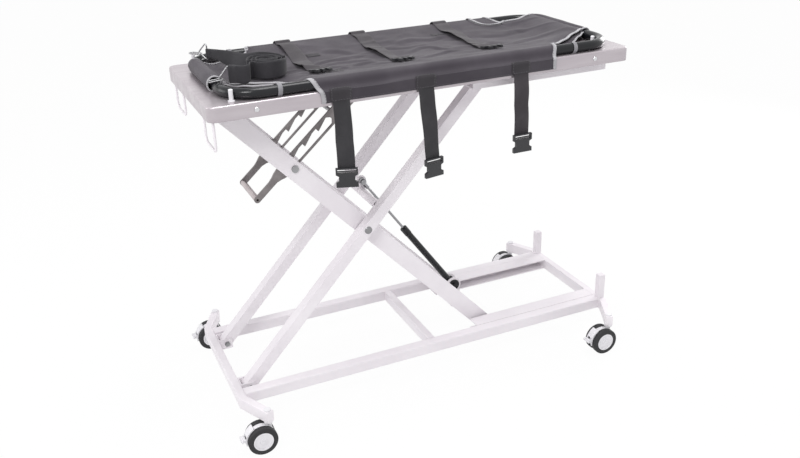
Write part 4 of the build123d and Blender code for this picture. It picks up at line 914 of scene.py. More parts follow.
    def neck(self, x: float, side: Side) -> float:
        """Half width of the cloth beyond the skirts.

        Args:
            x: place along the bed.
            side: side of the bed.

        Returns:
            Distance of the cloth's edge from the middle line.
        """
        if x < self.starts[side]:
            end, away, lean = End.LEFT, self.starts[side] - x, self.lean_left
        else:
            end, away, lean = End.RIGHT, x - self.ends[side], self.lean_right
        return between([(lean, self.full), *((a * MM, wide * MM) for a, wide in NECKS[side, end])], away)

    def wrinkle(self, x: float, y: float) -> float:
        """Height of the cloth's soft folds, drawn out along the bed and gathered at the buckles.

        Args:
            x: place along the bed.
            y: place across it.

        Returns:
            Height over the smooth section.
        """
        swayed = y + self.sway.rise(x, y) * MM
        ridge = 0.5 - abs(self.ridge.at(x, swayed)) * 2
        pinch = math.exp(-(self.pinch.at(x, swayed) / self.pinch_wide) ** 2)
        pinch *= ease(0.5 + self.pinch_some.rise(x, y))
        height = (self.broad.rise(x, y) + self.drawn.rise(x, swayed) + self.ridge.height * ridge
                  + self.pinch.height * pinch + self.fine.rise(x, y))
        height += sum(fold.rise((x - self.places.mid_x) / MM, y / MM) for fold in BED_FOLDS)
        calm = 1.0
        pull = 0.0
        for number, centre in enumerate(self.strap_x):
            dx, dy = x - centre, y - self.buckle_y
            far = math.hypot(dx, dy)
            freed = ease((far - self.calm_zone[0]) / self.calm_zone[1])
            calm = min(calm, self.buckle_calm + (1 - self.buckle_calm) * freed)
            rays = math.sin(self.pull_rays * math.atan2(dy, dx) + self.pull_turn * number)
            fade = ease((far - self.pull_zone[0]) / self.pull_zone[1]) * math.exp(-far / self.pull_fade)
            pull += self.pull_high * rays * fade
        return (height * calm + pull) * MM

    def profile_z(self, y: float) -> float:
        """Height of the smooth section.

        Args:
            y: place across the bed.

        Returns:
            The height there.
        """
        for a, b in zip(self.half, self.half[1:]):
            if b.x >= abs(y):
                return a.y + (b.y - a.y) * (abs(y) - a.x) / (b.x - a.x)
        return self.half[-1].y

    def place(self, x: float, y: float) -> Vector:
        """Place of a point of the flat cloth: loose at the hand holes, raised to the end tubes, creased.

        Args:
            x: place along the bed.
            y: place across it.

        Returns:
            The place of the cloth's middle.
        """
        p = self.places
        z = self.profile_z(y)
        if x < p.mid_x:
            near, far = self.starts[Side.NEAR], self.starts[Side.FAR]
            begin = near + (far - near) * ease(y / self.hole_blend + 0.5)
            to_end = x - p.left_x - self.left_in
            z += (p.table_top + self.left_rest - z) * ease((begin - x) / self.left_loose)
            z += (p.tube_z + self.left_tuck - z) * (1 - ease(to_end / self.end_hold))
        else:
            to_end = p.right_x - x
            loose = ease((x - self.skirt_right) / self.right_loose) * ease(-y / self.right_side)
            z += (p.table_top + self.right_rest - z) * loose
            z += (self.crest - z) * (1 - ease(to_end / self.right_rise))
        held = ease((p.side_y - self.side_hold[0] - abs(y)) / self.side_hold[1])
        z += self.wrinkle(x, y) * held * ease(to_end / self.end_hold)
        return Vector((x, y, max(z, p.table_top + self.table_clear)))

    def top(self, x: float, y: float, half_width: float) -> float:
        """Highest place of the cloth's upper face across a strip."""
        return max(self.place(x + half_width * s, y).z for s in (-1, -0.5, 0, 0.5, 1)) + self.cloth / 2

    def skirt_shift(self, x: float, side: Side, share: float) -> Vector:
        """Swing of the skirt out from the table and of its crease up and down.

        Args:
            x: place along the bed.
            side: side of the bed.
            share: from 0 at the tube's crest to 1 at the hem.

        Returns:
            The shift, with y outward.
        """
        swing = self.swing * noise.noise(Vector((x * 11, side * 5.0, share * 1.6)))
        swing += self.flutter * noise.noise(Vector((x * 30, side * 9.0, share * 3)))
        crease = self.crease * noise.noise(Vector((x * 9, side * 3.0, 4.4)))
        crease *= math.exp(-((share - self.crease_at) / self.crease_wide) ** 2)
        return Vector((0.0, max(swing * share, -self.swing_in), crease))

    def skirt_point(self, x: float, side: Side, share: float, out: float = 0.0) -> Vector:
        """Place on a skirt.

        Args:
            x: place along the bed.
            side: side of the bed.
            share: from 0 at the tube's crest to 1 at the hem.
            out: distance off the cloth's middle.

        Returns:
            The place.
        """
        count = len(self.drop) - 1
        at = min(round(share * count), count)
        slope = self.drop[min(at + 1, count)] - self.drop[max(at - 1, 0)]
        normal = Vector((-slope.y, slope.x, 0.0)).normalized()
        shift = self.skirt_shift(x, side, share)
        q = self.drop[at]
        return Vector((x, side * (q.x + shift.y + normal.x * out), q.y + shift.z + normal.y * out))

    def seam(self, side: Side, share: float) -> Seam:
        """Line of stitches along a skirt.

        Args:
            side: side of the bed.
            share: from 0 at the tube's crest to 1 at the hem.

        Returns:
            Its points, each with the way off the cloth.
        """
        start, stop = self.starts[side] + self.seam_in, self.ends[side] - self.seam_in
        line = []
        for i in range(self.seam_steps + 1):
            x = start + (stop - start) * i / self.seam_steps
            point = self.skirt_point(x, side, share, self.seam_off)
            line.append((point, (self.skirt_point(x, side, share, self.seam_off + MM) - point).normalized()))
        return line

    def hem_seam(self, side: Side) -> Seam:
        """Line of stitches along a skirt's hem."""
        out = Vector((0.0, side, 0.0))
        return [(point + out * self.hem_stitch, out) for point in self.hems[side]]

    def snap(self, xs: list[float], x: float) -> int:
        """Move the nearest column to a place.

        Args:
            xs: places of the columns, one of which is changed.
            x: the place.

        Returns:
            Number of the column.
        """
        near = min(range(len(xs)), key=lambda i: abs(xs[i] - x))
        xs[near] = x
        return near

    def hang_skirt(self, piece: Piece, row: list[int], xs: list[float], side: Side) -> list[list[int]]:
        """Hang one skirt from the flat cloth, with its ends leaning inward.

        Args:
            piece: the cloth.
            row: points of the flat that carry the skirt.
            xs: their places along the bed.
            side: side of the bed.

        Returns:
            Numbers of the skirt's points, row by row from the flat down.
        """
        rows = [row]
        for r in range(1, self.skirt_rows + 1):
            share = r / self.skirt_rows
            left, right = (ease(share * speed) for speed in self.lean_speed)
            lower = []
            for i, x in enumerate(xs):
                x += self.lean_left * left * max(0.0, 1 - i / self.lean_columns[0])
                x -= self.lean_right * right * max(0.0, 1 - (len(xs) - 1 - i) / self.lean_columns[1])
                flat = (x, side * (self.full + self.fall * share))
                lower.append(piece.add_point(self.skirt_point(x, side, share), flat))
            for a in range(len(lower) - 1):
                piece.faces.append((rows[-1][a], rows[-1][a + 1], lower[a + 1], lower[a]))
            rows.append(lower)
        return rows

    def mark_edges(self, piece: Piece, side: Side, skirt: list[list[int]],
                   necks: dict[End, tuple[list[int], list[int]]]) -> None:
        """Keep one side's bound edges for the tape.

        Args:
            piece: the cloth.
            side: side of the bed.
            skirt: rows of the skirt from the flat down.
            necks: points of the flat's edge beyond the skirt, with their neighbours in the cloth, by end.
        """
        for end, (neck, neck_in) in necks.items():
            outermost, next_in = (0, 1) if end is End.LEFT else (-1, -2)
            outer = [row[outermost] for row in reversed(skirt)]
            within = [row[next_in] for row in reversed(skirt)]
            name = f"{side.name}_{end.name}".lower()
            self.edges[f"skirt_{name}"] = self.edge(piece, outer, within)
            self.edges[f"hole_{name}"] = self.edge(piece, outer[-1:] + neck, within[-1:] + neck_in)

    def edge(self, piece: Piece, line: list[int], within: list[int]) -> Edge:
        """Work out the ways off and up along one edge.

        Args:
            piece: the cloth.
            line: points of the edge.
            within: their neighbours in the cloth.

        Returns:
            The edge.
        """
        points = [piece.points[i].copy() for i in line]
        made = Edge()
        for i, point in enumerate(points):
            along = (points[min(i + 1, len(points) - 1)] - points[max(i - 1, 0)]).normalized()
            inward = piece.points[within[i]] - point
            outward = -(inward - along * inward.dot(along)).normalized()
            normal = along.cross(outward).normalized()
            away = point - Vector((point.x, 0.0, self.places.tube_z - self.inside))
            made.add(point, outward, normal if normal.dot(away) > 0 else -normal)
        return made

    def build(self) -> None:
        """Build the cloth and keep its edges and hems."""
        start, stop = self.places.left_x + self.cut_left, self.places.right_x - self.cut_right
        xs = [start + (stop - start) * i / self.columns for i in range(self.columns + 1)]
        first = {side: self.snap(xs, begin - self.lean_left) for side, begin in self.starts.items()}
        last = {side: self.snap(xs, end + self.lean_right) for side, end in self.ends.items()}
        piece = Piece("bed_cloth_sheet")
        rows = []
        flat = []
        for r in range(self.flat_rows + 1):
            share = 2 * r / self.flat_rows - 1
            side = Side.NEAR if share < 0 else Side.FAR
            widths = [self.full if first[side] <= i <= last[side] else min(self.neck(x, side), self.full)
                      for i, x in enumerate(xs)]
            rows.append([self.place(x, share * width) for x, width in zip(xs, widths)])
            flat.append([(x, share * width) for x, width in zip(xs, widths)])
        numbers = piece.add_grid(rows, flat)
        for side in Side:
            row, inner = numbers[:2] if side is Side.NEAR else numbers[:-3:-1]
            left, right = first[side], last[side] + 1
            skirt = self.hang_skirt(piece, row[left:right], xs[left:right], side)
            self.hems[side] = [piece.points[i].copy() for i in skirt[-2]]
            self.mark_edges(piece, side, skirt, {
                End.LEFT: (row[:left][::-1], inner[:left][::-1]), End.RIGHT: (row[right:], inner[right:])})
        made = piece.build(OXFORD_CLOTH, "stretcher", "bed_cloth", thick=self.cloth)
        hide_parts("stretcher_bed")
        piece.flat_area()


@dataclass
class Binding:
    """Light grey tape sewn over the cloth's raw edges, and over the loose under layer at the near holes."""

    bed: Bed
    width: float = 9.5 * MM
    near_width: float = 6.5 * MM
    under_width: float = 4.0 * MM
    thick: float = 3.4 * MM
    tape_thick: float = 0.6 * MM
    fold_in: float = 0.6 * MM
    fold_out: float = 0.9 * MM
    pitch: float = 2.4 * MM
    stitch_in: float = 1.6 * MM
    stitch_up: float = 0.45 * MM
    under_at: tuple[float, float, float, float] = (0.0, 0.22, 0.6, 1.0)
    under_tuck: float = 9.0 * MM
    under_thick: float = 1.2 * MM
    under_wave: float = 1.2 * MM
    under_cuts: int = 4
    lap_line: Table = ((-15, 183), (-9, 162), (2, 143), (16, 134), (32, 131), (48, 138), (62, 147))
    lap_lift: float = 2.4 * MM
    lap_points: int = 28
    lap_skirt: tuple[float, float] = (0.95, 0.9)
    lap_skirt_points: int = 16
    seams: list[Seam] = field(default_factory=list)

    def tape(self, name: str, edge: Edge, width: float) -> None:
        """Fold one tape over an edge.

        Args:
            name: name of the piece.
            edge: cloth edge that it covers.
            width: width that shows on each face.
        """
        half = self.thick / 2
        over = ((-width, half), (-width / 2, half), (-self.fold_in, half), (self.fold_out, half / 2))
        piece = edge.fold_over(name, (*over, *((a, -b) for a, b in reversed(over))), self.pitch)
        made = piece.build(BINDING_TAPE, "stretcher", "bed_cloth", thick=self.tape_thick)
        inset, lift = width - self.stitch_in, half + self.stitch_up
        self.seams.append([(point - off * inset + up * lift, up)
                           for point, off, up in zip(edge.points, edge.off, edge.up)])

    def under_layer(self, name: str, start: float, wide: tuple[float, float, float], drop: float) -> None:
        """Let the sleeve's lower layer show past a hole's edge, with its own tape.

        Args:
            name: name of the hole's edge.
            start: length along the edge before the layer shows.
            wide: how far it stands out past the edge after its rounded start, farther on and at its end.
            drop: how far it hangs below the edge.
        """
        edge = self.bed.edges[name]
        steps = [(b - a).length for a, b in zip(edge.points, edge.points[1:])]
        long = sum(steps) - start
        down = UP * -drop
        run = -start
        inner = []
        outer = Edge()
        for point, off, up, step in zip(edge.points, edge.off, edge.up, [0.0, *steps]):
            run += step
            if run < 0:
                continue
            out = between(list(zip(self.under_at, (0.0, *wide))), run / long)
            out += self.under_wave * noise.noise(Vector(((run + start) * 40, drop * 900, 2.0)))
            inner.append(point - off * self.under_tuck + down)
            outer.add(point + off * out + down, off, up)
        piece = Piece(f"under_layer_{name}")
        shares = [k / self.under_cuts for k in range(self.under_cuts + 1)]
        broad = self.under_tuck + max(wide)
        rows = [[a.lerp(b, share) for share in shares] for a, b in zip(inner, outer.points)]
        runs = [long * i / len(rows) for i in range(len(rows))]
        piece.add_grid(rows, [[(broad * share, along) for share in shares] for along in runs])
        made = piece.build(OXFORD_CLOTH, "stretcher", "bed_cloth", thick=self.under_thick)
        self.tape(f"binding_under_{name}", outer, self.under_width)

    def lap(self) -> None:
        """Bind the upper layer's far right edge, up the skirt and over the bed into the hole's edge."""
        bed = self.bed
        knots = [(bed.skirt_right + x * MM, y * MM, 0.0) for x, y in self.lap_line]
        line = even_path(smooth_path(knots, 6), self.lap_points)
        lapped = Edge()
        for i in range(self.lap_skirt_points):
            share = self.lap_skirt[0] - self.lap_skirt[1] * i / self.lap_skirt_points
            point = bed.skirt_point(line[0].x, Side.FAR, share)
            up = (bed.skirt_point(line[0].x, Side.FAR, share, 1.0) - point).normalized()
            lapped.add(point + up * self.lap_lift, Vector((1.0, 0.0, 0.0)), up)
        for i, q in enumerate(line):
            ahead = line[min(i + 1, len(line) - 1)] - line[max(i - 1, 0)]
            off = Vector((-ahead.y, ahead.x, 0.0)).normalized()
            lapped.add(bed.place(q.x, q.y) + UP * self.lap_lift, off, UP)
        self.tape("binding_lap_far_right", lapped, self.width)

    def build(self) -> None:
        """Bind every edge of the bed."""
        for name, edge in self.bed.edges.items():
            width = self.near_width if name.startswith("hole_near") else self.width
            self.tape(f"binding_{name}", edge, width)
        self.under_layer("hole_near_left", 90 * MM, (5 * MM, 10 * MM, 3 * MM), 4.2 * MM)
        self.under_layer("hole_near_right", 34 * MM, (20 * MM, 17 * MM, 7 * MM), 8.0 * MM)
        self.lap()


@dataclass
class EndSleeve:
    """Padded cloth roll round one end of the frame tube, following its bends, with bound ends."""

    places: Places
    name: str
    x: float
    way: int
    radius: float
    near: float
    far: float
    near_open: float
    far_open: float = 0.86
    near_swell: float = 0.12
    far_swell: float = 0.1
    bend: float = 75.0 * MM
    around: int = 28
    along: int = 44
    cloth: float = 1.6 * MM
    table_clear: float = 1.2 * MM
    spare_out: float = 0.2
    spare_up: float = 0.45
    pucker: float = 0.035
    weld: float = 0.1 * MM
    rim_turn: Table = ((-4.2, 1.5), (-2.2, 1.8), (0.6, 1.4), (1.3, 0.0), (0.6, -1.4), (-2.2, -1.8),
                       (-4.2, -1.5))
    rim_pitch: float = 1.6 * MM
    rim_thick: float = 0.5 * MM
    rim_flat: float = 13.0 * MM

    def station(self, run: float) -> tuple[Vector, Vector]:
        """Place on the tube's centre line and the outward way there.

        Args:
            run: length along the tube from the middle of the end, negative toward the near side.

        Returns:
            The place and the way out from the bed.
        """
        straight = self.places.side_y - self.bend
        over = max(abs(run) - straight, 0.0) / self.bend
        y = math.copysign(min(abs(run), straight) + self.bend * math.sin(over), run)
        x = self.x - self.way * self.bend * (1 - math.cos(over))
        out = Vector((self.way * math.cos(over), math.copysign(math.sin(over), run), 0.0))
        return Vector((x, y, self.places.tube_z)), out

    def ring(self, run: float, share: float) -> list[Vector]:
        """Points round the sleeve at one place of the tube, flattened where it rests on the table.

        Args:
            run: length along the tube from the middle of the end.
            share: from 0 at the sleeve's near end to 1 at its far end.

        Returns:
            The points, once round.
        """
        middle, out = self.station(run)
        spare = self.radius - self.places.tube_r
        swell = min(self.near_open + (1 - self.near_open) * ease(share / self.near_swell),
                    self.far_open + (1 - self.far_open) * ease((1 - share) / self.far_swell))
        ring = []
        for k in range(self.around):
            a = math.tau * k / self.around
            uneven = noise.noise(Vector((run * 30, math.cos(a) * 1.4, math.sin(a) * 1.4 + self.x)))
            r = self.radius * swell * (1 + self.pucker * uneven)
            place = middle + out * (r * math.cos(a) + self.spare_out * spare)
            place.z = max(place.z + self.spare_up * spare + r * math.sin(a),
                          self.places.table_top + self.table_clear)
            ring.append(place)
        return ring

    def build(self) -> None:
        """Build the sleeve and its rims."""
        piece = Piece(f"{self.name}_sleeve")
        runs = [-self.near + (self.near + self.far) * i / self.along for i in range(self.along + 1)]
        rings = [self.ring(run, i / self.along) for i, run in enumerate(runs)]
        around = [self.radius * math.tau * k / self.around for k in range(self.around + 1)]
        piece.add_grid([[*ring, ring[0]] for ring in rings], [[(run, k) for k in around] for run in runs])
        made = piece.build(OXFORD_CLOTH, "stretcher", "bed_cloth", thick=self.cloth)
        weld = made.modifiers.new("seam", "WELD")
        weld.merge_threshold = self.weld
        made.modifiers.move(len(made.modifiers) - 1, 0)
        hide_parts("stretcher_bed")
        for name, end, sign in (("near", 0, 1), ("far", -1, -1)):
            _, out = self.station(runs[end])
            self.rim(f"{self.name}_rim_{name}", rings[end], Vector((out.y, -out.x, 0.0)) * self.way * sign)

    def rim(self, name: str, ring: list[Vector], off: Vector) -> None:
        """Bind one open end of the sleeve.

        Args:
            name: name of the piece.
            ring: points of the open end.
            off: way out of the sleeve's end.
        """
        middle = sum(ring, Vector()) / len(ring)
        edge = Edge()
        for point in (*ring, ring[0]):
            edge.add(point, off, (point - middle).normalized())
        piece = edge.fold_over(name, [(a * MM, b * MM) for a, b in self.rim_turn], self.rim_pitch)
        made = piece.build(BINDING_TAPE, "stretcher", "bed_cloth", thick=self.rim_thick)


@dataclass
class TubeBands:
    """Grey tapes wrapped flat round the frame tube, one and a quarter times."""

    places: Places
    width: float = 11.0 * MM
    thick: float = 0.9 * MM
    near_left: float = 114.5 * MM
    near_right: float = 119.0 * MM
    far_left: float = 102.0 * MM
    start: float = -120.0
    wound: float = 450.0
    steps: int = 45
    clear: float = 0.9 * MM
    growth: float = 1.0 * MM
    wander: float = 1.2 * MM
    tilt: float = 0.05

    def build(self) -> None:
        """Wrap each tape round the tube."""
        p = self.places
        spots = (("near_left", p.left_x + self.near_left, Side.NEAR),
                 ("near_right", p.right_x - self.near_right, Side.NEAR),
                 ("far_left", p.left_x + self.far_left, Side.FAR))
        for name, x, side in spots:
            spine = []
            across = []
            for i in range(self.steps + 1):
                a = math.radians(self.start + self.wound * i / self.steps)
                r = p.tube_r + self.clear + self.growth * i / self.steps
                spine.append(Vector((x + self.wander * math.sin(a), side * p.side_y + r * math.cos(a),
                                     p.tube_z + r * math.sin(a))))
                across.append(Vector((1.0, 0.0, self.tilt * math.cos(a))).normalized())
            piece = strap_piece(f"tube_band_{name}", spine, across, self.width, cuts=4)
            made = piece.build(BAND_TAPE, "stretcher", "bed_cloth", thick=self.thick)


@dataclass
class Patches:
    """Cloth patches over the sewn ends of the straps, on the near skirt and on the bed."""

    bed: Bed
    straps: Sequence[float]
    width: float = 53.0 * MM
    thick: float = 0.9 * MM
    cover: float = 2.5 * MM
    cover_edge: float = 0.24
    skirt_off: float = 1.7 * MM
    skirt_shares: tuple[float, float] = (0.61, 0.36)
    skirt_cells: tuple[int, int] = (14, 12)
    bed_off: float = 0.7 * MM
    bed_cells: tuple[int, int] = (5, 8)
    bed_spots: tuple[tuple[float, float, float, float], ...] = (
        (-206.0 * MM, 85.0 * MM, 36.0 * MM, 20.0 * MM), (162.5 * MM, 115.0 * MM, 36.0 * MM, 20.0 * MM),
        (-212.0 * MM, -112.0 * MM, 24.0 * MM, 24.0 * MM))
    stitch_up: float = 0.9 * MM
    seams: list[Seam] = field(default_factory=list)

    def sew(self, name: str, rows: list[list[Vector]], size: tuple[float, float]) -> None:
        """Build one patch and keep the line of its seam.

        Args:
            name: name of the piece.
            rows: its points.
            size: its flat width and length.
        """
        piece = Piece(name)
        down, across = len(rows) - 1, len(rows[0]) - 1
        piece.add_grid(rows, [[(size[0] * k / across, size[1] * r / down) for k in range(across + 1)]
                              for r in range(down + 1)])
        made = piece.build(PATCH_CLOTH, "stretcher", "bed_cloth", thick=self.thick)
        normal = (rows[0][1] - rows[0][0]).cross(rows[1][0] - rows[0][0]).normalized()
        if normal.dot(Vector((0.0, -1.0, 1.0))) < 0:
            normal = -normal
        ring = [row[1] for row in rows[1:-1]] + rows[-2][2:-1]
        ring += [row[-2] for row in rows[-2:0:-1]] + rows[1][-2:0:-1]
        self.seams.append([(point + normal * self.stitch_up, normal) for point in ring])

    def build(self) -> None:
        """Sew on the patches."""
        down, across = self.skirt_cells
        for number, x in enumerate(self.straps):
            rows = []
            for r in range(down + 1):
                share = self.skirt_shares[0] + self.skirt_shares[1] * r / down
                row = []
                for k in range(across + 1):
                    s = 2 * k / across - 1
                    off = self.skirt_off + self.cover * ease((1 - abs(s)) / self.cover_edge)
                    row.append(self.bed.skirt_point(x + s * self.width / 2, Side.NEAR, share, off))
                rows.append(row)
            long = sum((b[across // 2] - a[across // 2]).length for a, b in zip(rows, rows[1:]))
            self.sew(f"skirt_patch_{number + 1}", rows, (self.width, long))
        down, across = self.bed_cells
        lift = UP * (self.bed.cloth / 2 + self.bed_off)
        for number, (along, y, wide, long) in enumerate(self.bed_spots):
            x = self.bed.places.mid_x + along
            rows = [[self.bed.place(x + wide * (k / across - 0.5), y + long * (r / down - 0.5)) + lift
                     for k in range(across + 1)] for r in range(down + 1)]
            self.sew(f"bed_patch_{number + 1}", rows, (wide, long))


@dataclass
class Stitching:
    """Rows of lock stitches along the tapes, patches, hems and joins."""

    seams: Sequence[Seam]
    stitch: float = 4.4 * MM
    gap: float = 2.2 * MM
    radius: float = 0.5 * MM
    sides: int = 6
    shape: Table = ((0.0, 0.3), (0.25, 1.0), (0.75, 1.0), (1.0, 0.3))

    def build(self) -> None:
        """Lay every stitch as a short bead that dips into the cloth at both ends."""
        piece = Piece("stitch_rows")
        angles = [math.tau * k / self.sides for k in range(self.sides + 1)]
        flat = [[(k * MM, r * MM) for k in range(len(angles))] for r in range(len(self.shape))]
        for seam in self.seams:
            line = [point for point, _ in seam]
            long = sum((b - a).length for a, b in zip(line, line[1:]))
            count = int(long / (self.stitch + self.gap))
            if count < 2:
                continue
            marks = even_path(line, 3 * count + 1)
            for i in range(count):
                start, stop = marks[3 * i], marks[3 * i + 2]
                up = seam[min(round(i * len(seam) / count), len(seam) - 1)][1]
                side = (stop - start).cross(up).normalized()
                rows = []
                for t, swell in self.shape:
                    middle = start.lerp(stop, t) - up * self.radius * (1 - swell)
                    rows.append([middle + (side * math.cos(a) + up * math.sin(a)) * self.radius * swell
                                 for a in angles])
                piece.add_grid(rows, flat)
        piece.build(SEWING_THREAD, "stretcher", "bed_cloth", rounds=0)


@dataclass
class CrossStraps:
    """Webbing from the far skirt over the bed to a buckle near the near tube."""

    bed: Bed
    width: float = 42.0 * MM
    thick: float = 2.0 * MM
    skirt_shares: tuple[float, float] = (0.9, 0.84)
    skirt_steps: int = 26
    proud: float = 0.5 * MM
    tube_proud: float = 3.6 * MM
    tube_shares: tuple[float, float] = (0.55, 0.4)
    lead: float = 4.0 * MM
    near_end: float = -84.0 * MM
    bed_steps: int = 44
    bed_clear: float = 0.6 * MM
    top_share: float = 0.6
    slack: float = 5.5 * MM
    wander: float = 4.0 * MM
    rim_over: float = 9.5 * MM
    near_turn: Table = ((-90.0, -2.5), (-93.5, 0.0), (-97.0, 0.6), (-99.5, -1.5), (-100.5, -4.5))
    points: int = 96

    def line(self, number: int, x: float) -> list[Vector]:
        """Middle line of one strap, up the far skirt, over the bed and into its buckle's slot.

        Args:
            number: which strap, from 0.
            x: its place along the bed.

        Returns:
            Points of the line.
        """
        bed = self.bed
        line = []
        for i in range(self.skirt_steps):
            share = self.skirt_shares[0] - self.skirt_shares[1] * i / self.skirt_steps
            proud = self.proud + self.tube_proud * ease((self.tube_shares[0] - share) / self.tube_shares[1])
            line.append(bed.skirt_point(x, Side.FAR, share, bed.cloth / 2 + self.thick / 2 + proud))
        start = line[-1].y - self.lead
        for i in range(self.bed_steps + 1):
            t = i / self.bed_steps
            y = start + (self.near_end - start) * t
            free = ease(t / 0.15) * ease((1 - t) / 0.12)
            slack = (0.55 + 0.45 * math.sin(10.5 * t + 1.9 * number)) * self.slack * free
            wander = self.wander * math.sin(6.0 * t + 2.1 * number) * free
            z = bed.top(x + wander, y, self.width / 2) * self.top_share
            z += (1 - self.top_share) * (bed.place(x, y).z + bed.cloth / 2)
            line.append(Vector((x + wander, y, z + self.thick / 2 + self.bed_clear + slack)))
        rim_z = bed.places.tube_z + self.rim_over
        return line + [Vector((x, y * MM, rim_z + up * MM)) for y, up in self.near_turn]

    def build(self) -> None:
        """Lay the straps, a little rolled to one side where they are free."""
        for number, x in enumerate(self.bed.strap_x):
            spine = even_path(smooth_path(self.line(number, x), 3), self.points)
            across = []
            for i in range(self.points):
                t = i / (self.points - 1)
                free = ease((t - 0.22) / 0.15) * ease((0.9 - t) / 0.12)
                roll = (0.10 + 0.16 * math.sin(9.0 * t + 1.3 * number)) * free
                across.append(Vector((1.0, 0.0, -roll)).normalized())
            piece = strap_piece(f"cross_strap_{number + 1}", spine, across, self.width)
            made = piece.build(STRAP_WEBBING, "stretcher", "webbing", thick=self.thick)
            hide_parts("cross_straps")


@dataclass
class HangingStraps:
    """Webbing sewn under the near skirt's patches and hanging down to a buckle."""

    bed: Bed
    width: float = 42.0 * MM
    thick: float = 2.2 * MM
    clear: float = 0.4 * MM
    spots: tuple[float, float, float] = (44.0 * MM, -23.0 * MM, -94.5 * MM)
    slots: tuple[float, float, float] = (-189.7 * MM, -206.7 * MM, -187.7 * MM)
    turns: tuple[float, float, float] = (-20.0, 10.0, 0.0)
    leans: tuple[float, float, float] = (0.0, -13.0 * MM, -7.0 * MM)
    finishes: tuple[Finish, Finish, Finish] = (WEBBING, WEBBING, STRAP_WEBBING)
    buckle_back: float = 3.9 * MM
    buckle_half: float = 26.0 * MM
    sewn_shares: tuple[float, float] = (0.66, 0.3)
    sewn_steps: int = 8
    hang_steps: int = 30
    hang_stop: float = 8.0 * MM
    rim_knots: tuple[float, float] = (3.0 * MM, 0.6 * MM)
    bulge: float = 3.2 * MM
    turn_stop: float = 14.0 * MM
    twist: float = 0.05
    points: int = 72

    def __post_init__(self) -> None:
        """Work out where the straps hang and where they are sewn."""
        bed = self.bed
        bases = (bed.skirt_left, bed.places.mid_x, bed.skirt_right)
        self.centres = [x + by for x, by in zip(bases, self.spots)]
        self.sewn = [x + lean for x, lean in zip(self.centres, self.leans)]

    def build(self) -> None:
        """Hang the straps, each turned toward its buckle and passing behind the slot's bar."""
        p = self.bed.places
        off = self.bed.cloth / 2 + self.thick / 2 + self.clear
        for number, x in enumerate(self.centres):
            turn = math.radians(self.turns[number])
            shares = [self.sewn_shares[0] + self.sewn_shares[1] * i / self.sewn_steps
                      for i in range(self.sewn_steps + 1)]
            line = [self.bed.skirt_point(self.sewn[number], Side.NEAR, share, off) for share in shares]
            top = line[-1]
            slot_z = p.table_top + self.slots[number]
            back = Vector((-math.sin(turn), math.cos(turn), 0.0)) * (self.thick / 2 + self.clear)
            swing = self.buckle_half * abs(math.sin(turn))
            rim = Vector((x, -p.table_y - self.buckle_back - swing, slot_z)) + back
            for i in range(1, self.hang_steps + 1):
                t = i / self.hang_steps
                bulge = self.bulge * math.sin(5.2 * t + 1.8 * number) * math.sin(math.pi * t)
                line.append(top.lerp(rim + UP * self.hang_stop, t) + Vector((0.0, -abs(bulge), 0.0)))
            line += [rim + UP * above for above in self.rim_knots]
            spine = even_path(smooth_path(line, 2), self.points)
            across = []
            for point in spine:
                t = ease((top.z - point.z) / (top.z - slot_z - self.turn_stop))
                twist = turn * t + self.twist * math.sin(7 * t + 1.4 * number) * (1 - t)
                across.append(Vector((math.cos(twist), math.sin(twist), 0.0)))
            piece = strap_piece(f"hanging_strap_{number + 1}", spine, across, self.width)
            made = piece.build(self.finishes[number], "stretcher", "webbing", thick=self.thick)
            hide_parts("hanging_straps")


